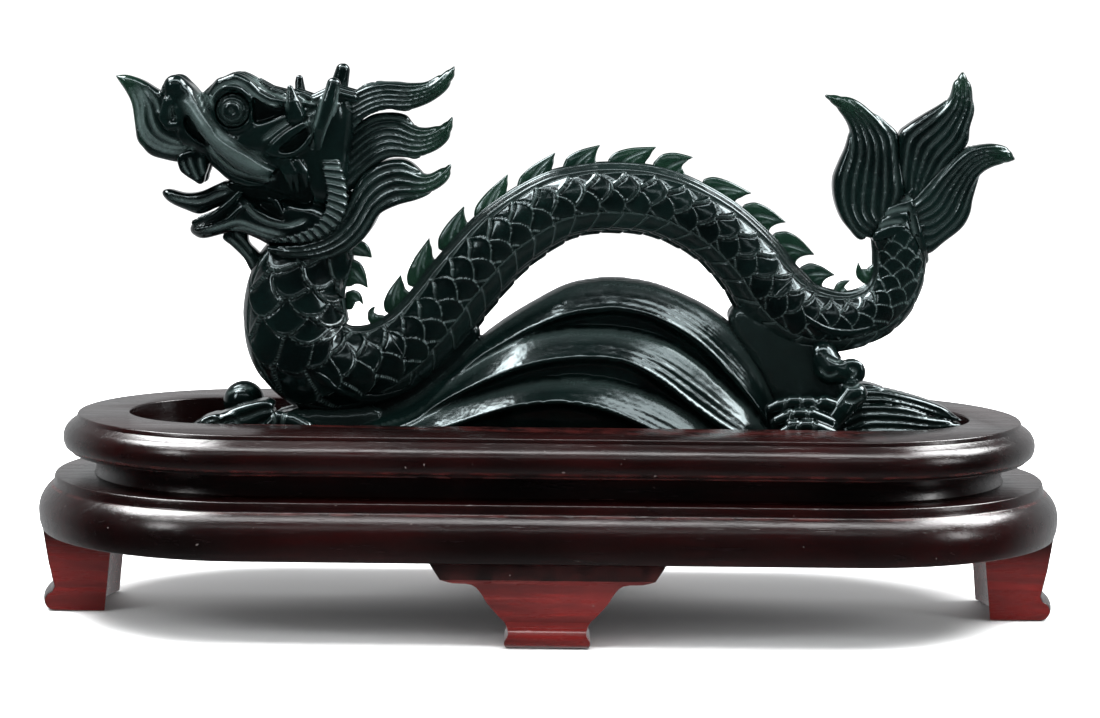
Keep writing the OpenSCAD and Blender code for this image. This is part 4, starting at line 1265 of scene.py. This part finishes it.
def gill_plates(step, groove):
    """A band of ribs behind the cheek and under the jaw."""
    block = Block((-76, -15.6, 91), (-50, 15.6, 122), step)
    inner = [(-61.0, 119.0), (-59.8, 114), (-58.8, 108), (-59.6, 103.4), (-62.5, 100.2),
             (-67, 98.0), (-73.4, 96.6)]
    outer = [(-56.0, 119.5), (-53.6, 112), (-53.0, 105.6), (-55.2, 100.2), (-59.8, 96.6),
             (-66, 95), (-73.4, 95.4)]
    a, b = spline(moved(inner, (0.9, 0.5))), spline(moved(outer, (0.9, 0.5)))
    flat = outline_distance(block.side, np.vstack([a, b[::-1]]))
    d_in, along_in = path_distance(block.side, a)
    d_out, along_out = path_distance(block.side, b)
    across = d_in / (d_in + d_out + 1e-6)
    along = along_in * (1 - across) + along_out * across
    rib = np.abs(np.sin(math.pi * 17 * along))**0.8
    shape = block.slab(flat, 12.9 - 0.8 * across - 2.4 * np.clip(1 - along / 0.12, 0, 1), 1.4)
    block.join(shape + (groove * 1.2 * (1 - rib))[:, None, :])
    inside = (np.abs(block.y) < 9.0)[None, :, None]
    block.value = np.where(inside, np.maximum(block.value, 9.0 - np.abs(block.y)[None, :, None]),
                           block.value).astype(np.float32)
    block.cut = np.clip(1.3 * (1 - rib) - 0.3, 0, 1) * (flat < 0.5)
    return block


def eyeballs(step):
    """A ball on each side with rings cut round its pupil."""
    block = Block((-88, -14.6, 125), (-77, 14.6, 136), step)
    block.rod([(EYE_X, 9.5, EYE_Z), (EYE_X, 9.5, EYE_Z + 0.01)], [4.45, 4.45], 0.3)
    for radius, width in ((2.5, 0.3), (3.7, 0.22)):
        block.groove(arc((EYE_X, EYE_Z), radius, 0, 360, 12), width, 0.6, 0.001, 0.15)
    block.groove([(-82.6, 130.4), (-81.8, 129.7), (-81.2, 128.9)], 0.6, 0.6, 0.1, 0.1)
    block.value = np.where((np.abs(block.y) < 4.4)[None, :, None], FAR, block.value)
    return block


def teeth(step):
    """A pair of front teeth under the lip's flame."""
    block = Block((-98, -8.4, 108.5), (-86.5, 8.4, 120.5), step)
    block.add([(-96.3, 118), (-96.1, 114.4), (-94.6, 112.8), (-92.4, 111.4), (-90.8, 110.5),
               (-89.8, 111.2), (-89.4, 112.8), (-88.8, 114.4), (-88.6, 116.4), (-91, 119.5)],
              2.3, 1.0, y=4.6)
    block.grooves(([(-93.6, 117.4), (-92.6, 114.4), (-91.2, 111.6)], 0.35, 0.6),
                  ([(-90.8, 117.4), (-90.4, 115.0), (-89.8, 112.8)], 0.3, 0.5),
                  ([(-95.2, 116.6), (-94.6, 114.6), (-93.4, 113.0)], 0.25, 0.4))
    return block


def tongue(step):
    """A raised tongue with its middle line and a curl cut in it."""
    block = Block((-103, -5.5, 101), (-73, 5.5, 113), step)
    half = np.interp(block.side[..., 0], [-101.5, -98, -90, -80], [2.2, 3.4, 4.4, 4.8])
    flat = outline_distance(block.side, spline(
        [(-101.3, 107.9), (-99.5, 108.9), (-95, 107.9), (-91, 108.4), (-87, 110.2), (-84, 111.2),
         (-80, 109.3), (-74, 107), (-80, 106), (-86, 104.6), (-91, 102.6), (-95, 103.6),
         (-99.5, 105.6)], 5, loop=True))
    block.join(block.slab(flat, half, 2.2))
    block.groove([(-99.6, 107.0), (-94.6, 106.0), (-90.4, 106.0), (-86.6, 107.6), (-83, 108.8)],
                 0.35, 0.6)
    block.groove([(-87.2, 109.4), (-84.4, 109.8), (-82, 109.0)], 0.3, 0.5)
    return block


def horns(step):
    """The small brow horns and the big ones behind them; the far pair stands a little higher."""
    small = Block((-72, -15.2, 125), (-62, 15.2, 141.5), step)
    big = Block((-64.5, -15.8, 116), (-50, 15.8, 141.5), step)
    for side, lift in ((-1, 0.0), (1, 1.6)):
        lean = 0.4 * lift
        small.rod([(-65.6, side * 10.6, 128.6), (-66.6, side * 11.0, 131.6),
                   (-67.2 + lean, side * 11.2, 135.4 + 1.3 * lift)], [2.9, 2.3, 1.0], both=False)
        big.rod([(-59.8, side * 12.0, 120.5), (-59.2, side * 12.4, 126.0),
                 (-57.0, side * 12.5, 132.0), (-55.9 + lean, side * 12.4, 136.6 + 2 * lift)],
                [0.9, 2.3, 2.8, 1.9], both=False)
    small.groove([(-67.6, 136.4), (-68.2, 133.4), (-67.6, 130)], 0.5, 0.5, 0.2, 0.3)
    big.grooves(([(-57.2, 137.6), (-58.6, 133.8), (-59.6, 129.4), (-61.2, 124)], 0.35, 0.5, 0.2, 0.5),
                ([(-54.6, 137.0), (-54.8, 132.6), (-57.2, 126), (-59, 120.5)], 0.4, 0.7, 0.2, 0.7))
    return small, big


def beard(step):
    """One curled lock under the chin."""
    block = Block((-87, -4.2, 86.5), (-73, 4.2, 100.5), step)
    block.add([(-85.5, 96.6), (-82.6, 99.6), (-79.3, 98.6), (-78.6, 95.3), (-76.3, 92.9),
               (-74.6, 90.8), (-75.2, 87.6), (-77.8, 87.5), (-80, 91.2), (-83, 94.2)], 3.0, 1.6)
    block.groove([(-84.0, 96.6), (-81.0, 94.0), (-78.4, 91.0), (-77.0, 88.6)], 0.35, 0.7)
    block.groove([(-82.2, 97.8), (-80.0, 95.6), (-77.8, 92.6)], 0.3, 0.5)
    return block


def mane(step, groove):
    """Three flame locks swept back from the head; each stands out over the one below it."""
    top = Block((-60, -9, 119), (-24, 9, 143), step)
    top.lock([(-58, 133.6), (-55, 134.2), (-52, 135.2), (-48, 137.2), (-43, 138.1), (-37, 137.5),
              (-33, 137.4), (-29.5, 139.2), (-25.4, 141.6)],
             [(-58, 121), (-53, 121.6), (-51.2, 124.6), (-48, 127.6), (-43, 129.6), (-38, 129.2),
              (-35, 130.2), (-31, 132.3), (-27.5, 135.2), (-25.6, 138.6), (-25.3, 141.4)],
             (5.0, 8.0, 2.0), 7, groove, 2.4)
    middle = Block((-58, -9, 107), (-24, 9, 131), step)
    middle.lock([(-55, 122), (-51.6, 125.4), (-47, 128.6), (-42, 129.4), (-38, 128.8),
                 (-36, 127.0), (-33, 125.8), (-30, 126), (-27.8, 127), (-25.9, 128.6)],
                [(-55, 109), (-51.6, 109.4), (-49.4, 112.4), (-46, 115.4), (-42, 117.6),
                 (-38, 117.6), (-35, 117.2), (-30.5, 119), (-27.2, 122), (-25.9, 125.5),
                 (-25.8, 128.4)],
                (3.6, 7.6, 2.0), 7, groove, 2.2)
    lower = Block((-75, -14, 89), (-24, 14, 119), step)
    lower.lock([(-73.4, 95.2), (-68, 95.6), (-62, 97.2), (-57, 100), (-53.6, 104.4),
                (-51.4, 109.4), (-48.6, 113.6), (-44, 116.6), (-39.6, 117.4), (-36.6, 116.6),
                (-33, 114.1), (-30, 114.5), (-26.1, 116.6)],
               [(-73.2, 93.8), (-68, 91.8), (-63, 91), (-58, 91.4), (-53, 93.3), (-49, 96.3),
                (-46.5, 99.5), (-44.2, 103.4), (-40, 105.5), (-35, 106.8), (-30.5, 108.5),
                (-27.5, 111), (-26.1, 114), (-26.0, 116.4)],
               (12.4, 12.8, 1.0), 5, groove * 1.1, 2.2)
    return top, middle, lower


# ---- legs ---------------------------------------------------------------------------


def fore_claw(step):
    """A bent claw on the near side, with the creases of its joints."""
    block = Block((-75, -21.5, WELL_FLOOR + 3), (-60, -14, 55), step)
    block.limb([(-62.5, -18, 48.4), (-66, -18, 50.4), (-69.6, -18.2, 51.4), (-71.6, -18.6, 49.8),
               (-72.4, -18.8, 48)], [2.8, 2.6, 2.0, 1.5, 0.8], 0.5)
    block.grooves(([(-67.4, 53.4), (-68.2, 51), (-68, 48.6)], 0.35, 0.7),
                  ([(-70.6, 53), (-70.2, 51), (-70.8, 49)], 0.3, 0.6))
    return block


def hind_leg(step):
    """The knee curl, a second lump under it and the shank down to the foot."""
    block = Block((68, -18.5, WELL_FLOOR + 3), (83, -7.5, 73.5), step)
    block.limb([(70.5, -9, 67.6), (72.6, -11, 64.6), (75.8, -12, 64.0)], [4.2, 4.0, 3.0],
              0.8)
    curl = [(77.6 + 2.2 * math.cos(a), -12.6, 64.2 + 2.0 * math.sin(a))
            for a in np.linspace(2.4, -3.4, 14)]
    block.limb(curl, [1.7, 1.4], 0.5)
    block.limb([(77.2, -12.0, 64.2), (78.0, -12.0, 64.2)], [2.6, 2.6], 0.5)
    block.limb([(77.6, -13.0, 61.0), (78.8, -13.4, 58.6), (77.4, -13.8, 56.4)], [2.4, 3.1, 2.4],
              0.6)
    block.limb([(77.2, -13.8, 58.0), (75.0, -14.6, 54.6), (72.6, -15.2, 51.4)], [2.6, 3.0, 2.6],
              0.6)
    for points in ([(69.4, 65.4), (71.6, 63.6), (74.2, 64.6)],
                   [(75, 61.2), (77.8, 60.8), (80.4, 62)],
                   [(75.6, 57.4), (78.4, 57.2), (80.8, 58.4)],
                   [(77.2, 65.8), (78.6, 64.6), (77.4, 63.2)],
                   [(71, 68.4), (73.6, 67.2), (75.6, 67.4)]):
        block.groove(points, 0.32, 0.7)
    return block


def hind_foot(step):
    """Three clawed toes reaching forward from the ankle."""
    block = Block((53.5, -22.8, WELL_FLOOR + 3), (75, -12, 60.5), step)
    for y, z, reach in ((-15.2, 55.4, 57.6), (-18.0, 52.6, 59.0), (-20.6, 50.0, 60.6)):
        block.limb([(72, y + 1.5, z - 1.4), (67, y + 0.6, z + 0.9), (62, y, z + 1.2),
                   (reach + 1.6, y - 0.2, z + 0.4)], [2.3, 2.1, 1.8, 1.7], 0.4)
        block.limb([(reach + 1.4, y - 0.2, z + 0.2), (reach - 0.6, y - 0.4, z - 0.6),
                   (reach - 1.4, y - 0.4, z - 3.4)], [2.0, 1.7, 0.5], 0.4)
        for knuckle in (reach + 3, reach + 7):
            block.groove([(knuckle + 0.6, z + 3.4), (knuckle, z + 1), (knuckle + 0.8, z - 1)],
                         0.35, 0.5, dust_and_sheen=0.15)
    block.limb([(74, -14.2, 55), (70.5, -15.4, 56.4), (68, -16, 55)], [2.4, 2.2, 1.2], 0.8)
    return block


# ---- stage ----------------------------------------------------------------------------

EYE = Vector((0.0, -0.7990, 0.1577))
PITCH, ROLL, LENS = 0.1150, 0.0107, 100.62


def camera():
    """Looks down a little from in front, with the stand a touch off level."""
    data = bpy.data.cameras.new("camera")
    data.lens = LENS
    data.sensor_width = 36.0
    data.sensor_fit = "HORIZONTAL"
    data.clip_start = 0.02
    obj = placed("camera", data)
    ahead = Vector((0, math.cos(PITCH), -math.sin(PITCH)))
    above = Vector((0, math.sin(PITCH), math.cos(PITCH)))
    side = Vector((1, 0, 0))
    right = side * math.cos(ROLL) + above * math.sin(ROLL)
    up = above * math.cos(ROLL) - side * math.sin(ROLL)
    turn = Matrix((right, up, -ahead)).transposed().to_4x4()
    obj.matrix_world = Matrix.Translation(EYE) @ turn
    bpy.context.scene.camera = obj


def soft_light(name, place, target, size, power, mirrored=True):
    """A soft box; one that isn't mirrored lights things without showing in their polish."""
    data = bpy.data.lights.new(name, "AREA")
    data.shape = "RECTANGLE"
    data.size, data.size_y = size
    data.energy = power
    obj = placed(name, data)
    obj.location = place
    aim = Vector(target) - Vector(place)
    obj.rotation_euler = aim.to_track_quat("-Z", "Y").to_euler()
    obj.visible_glossy = mirrored


def pale_table(colour):
    """A table in two sheets, which doesn't show in the polish."""
    finish, tree = new_material("pale_table")
    place = node(tree, "ShaderNodeTexCoord").outputs["Object"]
    share = ramp(tree, noise(tree, place, 40, 3), 0.3, 0.7)
    tint = mix(tree, share, (*colour, 1), (*(0.985 * c for c in colour), 1))
    shader = node(tree, "ShaderNodeBsdfPrincipled",
                  {"Base Color": tint, "Roughness": 0.7, "Specular IOR Level": 0.15})
    out = node(tree, "ShaderNodeOutputMaterial")
    tree.links.new(shader.outputs[0], out.inputs[0])
    for name, front, back in (("table", -0.26, 1.1), ("table_front", -3.0, -0.26)):
        bpy.ops.mesh.primitive_grid_add(x_subdivisions=8, y_subdivisions=8, size=1.0,
                                        location=(0, 0.5 * (front + back), -0.0002))
        table = bpy.context.object
        table.name = name
        table.scale = (6.0, back - front, 1.0)
        table.visible_glossy = False
        table.data.materials.append(finish)


def pale_room(strength):
    """Surroundings that are white to the camera, and dark with a pale back wall in the polish."""
    world = bpy.data.worlds.new("pale_room")
    bpy.context.scene.world = world
    world.use_nodes = True
    tree = world.node_tree
    tree.nodes.clear()
    sky = node(tree, "ShaderNodeTexCoord")
    parts = node(tree, "ShaderNodeSeparateXYZ", {0: sky.outputs["Generated"]})
    wall = maths(tree, "MULTIPLY", ramp(tree, parts.outputs[1], 0.05, 0.6),
                 ramp(tree, parts.outputs[2], 0.25, 0.65, 1.0, 0.0))
    floor = ramp(tree, parts.outputs[2], -0.85, -0.35, 1.0, 0.0)
    room = mix(tree, floor, (0.012, 0.012, 0.013, 1), (0.25, 0.25, 0.25, 1))
    room = mix(tree, wall, room, (0.60, 0.61, 0.62, 1))
    seen = node(tree, "ShaderNodeLightPath")
    room = mix(tree, seen.outputs["Is Diffuse Ray"], room, (1.0, 1.0, 1.0, 1))
    shown = mix(tree, seen.outputs["Is Camera Ray"], room, (1.2, 1.2, 1.2, 1))
    lit = node(tree, "ShaderNodeBackground", {0: shown, 1: strength})
    out = node(tree, "ShaderNodeOutputWorld")
    tree.links.new(lit.outputs[0], out.inputs[0])


# Soft boxes aimed at the carving: name, place, size and power in watts
SOFT_BOXES = (
    ("overhead", (0.0, -0.3, 1.0), (1.8, 0.2), 12.0),
    ("left_top", (-0.52, 0.14, 0.9), (0.4, 0.45), 18.0),
    ("right_top", (0.72, 0.16, 0.85), (0.5, 0.55), 22.0),
    ("front_strip", (0.0, -0.8, 0.8), (1.1, 0.05), 0.7),
    ("left_box", (-1.0, -0.75, 0.8), (0.2, 0.36), 3.6),
    ("right_box", (1.15, -0.55, 0.5), (0.2, 0.42), 3.0),
)


def studio(settings):
    """Pale table, pale surroundings and soft boxes above, behind and beside."""
    pale_table(settings.table)
    pale_room(settings.room_light)
    for name, place, size, power in SOFT_BOXES:
        soft_light(name, place, (0, 0, 0.06), size, power * settings.box_light)
    soft_light("back_wash", (0.0, 1.5, 0.6), (0, 0.75, 0.0), (2.6, 0.3),
               26 * settings.box_light, False)


# ---- settings, operators and panel --------------------------------------------------------


class StandFinish(bpy.types.PropertyGroup):
    """Finish of the wooden stand."""

    dark: FloatVectorProperty(name="Lacquer shade", description="Darkest colour of the lacquer",
                              subtype="COLOR", min=0, max=1, default=(0.0020, 0.0003, 0.0003))
    red: FloatVectorProperty(name="Lacquer red", description="Red showing through the lacquer",
                             subtype="COLOR", min=0, max=1, default=(0.0095, 0.0007, 0.0007))
    foot_dark: FloatVectorProperty(name="Foot shade", description="Darkest colour of the cut feet",
                                   subtype="COLOR", min=0, max=1, default=(0.0060, 0.0008, 0.0007))
    foot_red: FloatVectorProperty(name="Foot red", description="Brick red of the cut feet",
                                  subtype="COLOR", min=0, max=1, default=(0.140, 0.0075, 0.0065))
    gloss: FloatProperty(name="Roughness", description="Roughness of the lacquer, 0 is a mirror",
                         min=0.02, max=1, default=0.19)


class DragonFinish(bpy.types.PropertyGroup):
    """Carving and finish of the jade."""

    fineness: FloatProperty(name="Fineness", description="Distance between carved points, in mm",
                            min=0.25, max=1.5, default=0.4)
    groove: FloatProperty(name="Groove depth", description="Depth of the flowing grooves, in mm",
                          min=0.1, max=2, default=0.85)
    relief: FloatProperty(name="Scale relief", description="How far the scales stand out, as a share",
                          min=0.1, max=2, default=1.25)
    sides: IntProperty(name="Body sides", description="Points round the scaly body",
                       min=48, max=220, default=196)
    deep: FloatVectorProperty(name="Deep green", description="Darkest colour of the stone",
                              subtype="COLOR", min=0, max=1, default=(0.0004, 0.0014, 0.0014))
    light: FloatVectorProperty(name="Lighter green", description="Lighter mottling of the stone",
                               subtype="COLOR", min=0, max=1, default=(0.0016, 0.0052, 0.0046))
    thin: FloatVectorProperty(name="Thin stone", description="Green where the stone is thin",
                              subtype="COLOR", min=0, max=1, default=(0.004, 0.015, 0.009))
    # pale colour of dusty cut lines, also used for the painted highlights on scale edges and the
    # cheek ridge
    dust_and_sheen: FloatVectorProperty(name="Cut lines", description="Pale dull green in the cut lines",
                              subtype="COLOR", min=0, max=1, default=(0.085, 0.125, 0.120))
    gloss: FloatProperty(name="Roughness", description="Roughness of the polish, 0 is a mirror",
                         min=0.02, max=1, default=0.15)


class StudioSettings(bpy.types.PropertyGroup):
    """Table and light."""

    table: FloatVectorProperty(name="Table", description="Colour of the table", subtype="COLOR",
                               min=0, max=1, default=(0.86, 0.865, 0.87))
    room_light: FloatProperty(name="Room light", description="Strength of the surroundings",
                              min=0, max=5, default=1.0)
    box_light: FloatProperty(name="Soft boxes", description="Strength of the soft boxes",
                             min=0, max=5, default=1.0)


QUICK = 1.0
# Shares of the fineness: the biggest pieces are coarser, to stay under 200,000 triangles
BASE_STEP, MOUND_STEP, BODY_STEP, GILL_STEP = 1.5, 1.22, 0.92, 0.9
FINE_STEP, FINEST_STEP = 0.8, 0.7
MOUND_GROOVE = 1.25


def carving(context):
    dragon = context.scene.dragon_finish
    return dragon.fineness * QUICK, dragon.groove, material("jade")


class MakePiece(bpy.types.Operator):
    """Makes one group of the figurine's pieces."""

    bl_idname = "jade_dragon.piece"
    bl_label = "Piece"
    bl_options = {"REGISTER", "UNDO"}

    def execute(self, context):
        self.build(context)
        return {"FINISHED"}


class MakeMouldings(MakePiece):
    """Makes the stand's rim, waist, plinth and well floor."""

    bl_idname = "jade_dragon.mouldings"
    bl_label = "Stand mouldings"

    def build(self, context):
        lacquer = material("lacquer")
        for make in (rim_moulding, waist_band, plinth_moulding, well_floor):
            fit(make(), "stand", "lacquer", lacquer, make.__name__)


# In metres: how far out an end foot's turned face lies, and how high a centre foot's one starts
END_FACE_X, CENTRE_FACE_Z = 0.121, 0.0175


def lacquered(face, end):
    """Whether a foot's face is on its turned outside; the cut faces are brick red."""
    if end:
        return abs(face.normal.y) < 0.9 and abs(face.center.x) > END_FACE_X
    return face.center.z > CENTRE_FACE_Z and abs(face.normal.y) > 0.8


class MakeFeet(MakePiece):
    """Makes the four feet, cut from one moulded skirt."""

    bl_idname = "jade_dragon.feet"
    bl_label = "Stand feet"

    def build(self, context):
        wood, lacquer = material("foot_wood"), material("lacquer")
        for made, name in ((end_foot(-1), "left_end_foot"), (end_foot(1), "right_end_foot"),
                           (centre_foot(-1), "front_centre_foot"),
                           (centre_foot(1), "back_centre_foot")):
            fit(made, "stand", "foot_wood", wood, name)
            made.data.materials.append(lacquer)
            for face in made.data.polygons:
                face.material_index = int(lacquered(face, "end" in name))


class MakeRocks(MakePiece):
    """Makes the carved base, the two rocks and the pearl."""

    bl_idname = "jade_dragon.rocks"
    bl_label = "Rocks and pearl"

    def build(self, context):
        step, _, jade = carving(context)
        front, rear = rocks(step)
        for name, block in (("rock_base", rock_base(step * BASE_STEP)), ("front_rock", front),
                            ("rear_rock", rear), ("pearl", pearl(step))):
            carved(name + "_stone", block, jade, name)


class MakeWaves(MakePiece):
    """Makes the tiers of waves under the arch and the waves at both ends."""

    bl_idname = "jade_dragon.waves"
    bl_label = "Waves"

    def build(self, context):
        step, groove, jade = carving(context)
        mound = wave_mound(step * MOUND_STEP, groove * MOUND_GROOVE)
        for name, block in (("wave_mound", mound), ("left_wave", left_wave(step, groove)),
                            ("right_wave", right_wave(step, groove))):
            carved(name + "_stone", block, jade, name)


class MakeBody(MakePiece):
    """Makes the scaly body in three stretches."""

    bl_idname = "jade_dragon.body"
    bl_label = "Scaly body"

    def build(self, context):
        step, _, jade = carving(context)
        dragon = context.scene.dragon_finish
        last = len(SPINE) - 1
        for name, a, b in (("front_body_scales", 0, ARCH_FROM),
                           ("arch_body_scales", ARCH_FROM, ARCH_TO),
                           ("rear_body_scales", ARCH_TO, last)):
            body_part(name, a, b, step * BODY_STEP, dragon.sides, dragon.relief, jade)
        for name, points in (("front_fold", FRONT_FOLD), ("rear_fold", REAR_FOLD)):
            carved(name, fold(points, step), jade)


class MakeFins(MakePiece):
    """Makes the row of leaf-shaped fins along the back."""

    bl_idname = "jade_dragon.fins"
    bl_label = "Back fins"

    def build(self, context):
        step, _, _ = carving(context)
        blocks = [fin(f[0:2], f[2:4], f[4:6], step * FINEST_STEP) for f in FINS]
        carved("back_fins_leaves", blocks, material("jade_thin"), "back_fins",
               slot="thin_jade", thin=lambda p: np.full(len(p), FIN_THINNESS))


class MakeTail(MakePiece):
    """Makes the tail's three flame lobes and the layered end of its stalk."""

    bl_idname = "jade_dragon.tail"
    bl_label = "Tail"

    def build(self, context):
        step, groove, jade = carving(context)
        front, top, rear = tail_lobes(step, groove)
        for name, block, axis, start in (("tail_front", front, 2, 126), ("tail_top", top, 2, 131),
                                         ("tail_rear", rear, 0, 110)):
            carved(name + "_flame", block, jade, name + "_lobe",
                   thin=lambda p: np.clip((p[:, axis] - start) / 14, 0, 0.5))
        carved("tail_stalk_end", stalk_end(step), jade)


class MakeHead(MakePiece):
    """Makes the head with its eyes, teeth, tongue, horns, gill plates and beard."""

    bl_idname = "jade_dragon.head"
    bl_label = "Head"

    def build(self, context):
        step, groove, jade = carving(context)
        carved("head_stone", head(step), jade, "skull", "snout_flame", "lower_jaw", "ears",
               thin=lambda p: np.clip((-104 - p[:, 0]) / 9, 0, 0.6))
        carved("gill_plates_stone", gill_plates(step * GILL_STEP, groove), jade, "gill_collar")
        carved("eyeballs_stone", eyeballs(step * FINEST_STEP), jade, "eyes")
        small, big = horns(step * FINE_STEP)
        for name, block in (("teeth", teeth(step * FINEST_STEP)), ("tongue", tongue(step)),
                            ("brow_horns", small), ("main_horns", big),
                            ("beard", beard(step * FINE_STEP))):
            carved(name + "_stone", block, jade, name)


class MakeMane(MakePiece):
    """Makes the three locks of the mane."""

    bl_idname = "jade_dragon.mane"
    bl_label = "Mane"

    def build(self, context):
        step, groove, jade = carving(context)
        for block, name in zip(mane(step, groove), ("top", "middle", "lower")):
            carved(f"mane_{name}_flame", block, jade, f"mane_{name}_lock",
                   thin=lambda p: np.clip((p[:, 0] + 40) / 24, 0, 0.5))


class MakeLegs(MakePiece):
    """Makes the fore claw and the hind leg with its foot."""

    bl_idname = "jade_dragon.legs"
    bl_label = "Legs"

    def build(self, context):
        step, _, jade = carving(context)
        for make in (fore_claw, hind_leg, hind_foot):
            carved(make.__name__ + "_stone", make(step * FINE_STEP), jade, make.__name__)


class MakeStage(MakePiece):
    """Makes the table, the lights and the camera."""

    bl_idname = "jade_dragon.stage"
    bl_label = "Stage"

    def build(self, context):
        camera()
        studio(context.scene.studio)


MAKERS = (MakeStage, MakeMouldings, MakeFeet, MakeRocks, MakeWaves, MakeBody, MakeFins, MakeTail,
          MakeHead, MakeMane, MakeLegs)


class JadeDragonPanel(bpy.types.Panel):
    """Lists the finishes and the makers."""

    bl_idname = "VIEW3D_PT_jade_dragon"
    bl_label = "Jade Dragon"
    bl_space_type = "VIEW_3D"
    bl_region_type = "UI"
    bl_category = "Jade Dragon"

    def draw(self, context):
        for settings in (context.scene.stand_finish, context.scene.dragon_finish,
                         context.scene.studio):
            box = self.layout.box()
            for key in settings.bl_rna.properties.keys():
                if key not in ("rna_type", "name"):
                    box.prop(settings, key)
        for maker in MAKERS:
            self.layout.operator(maker.bl_idname)


CLASSES = (StandFinish, DragonFinish, StudioSettings, *MAKERS, JadeDragonPanel)


def register():
    for item in CLASSES:
        bpy.utils.register_class(item)
    bpy.types.Scene.stand_finish = PointerProperty(type=StandFinish)
    bpy.types.Scene.dragon_finish = PointerProperty(type=DragonFinish)
    bpy.types.Scene.studio = PointerProperty(type=StudioSettings)


def unregister():
    for key in ("stand_finish", "dragon_finish", "studio"):
        delattr(bpy.types.Scene, key)
    for item in reversed(CLASSES):
        bpy.utils.unregister_class(item)


def main():
    register()
    bpy.context.scene.view_settings.view_transform = "Standard"
    for maker in MAKERS:
        group_name, call = maker.bl_idname.split(".")
        getattr(getattr(bpy.ops, group_name), call)()
    bpy.ops.object.select_all(action="DESELECT")


if __name__ == "__main__":
    main()
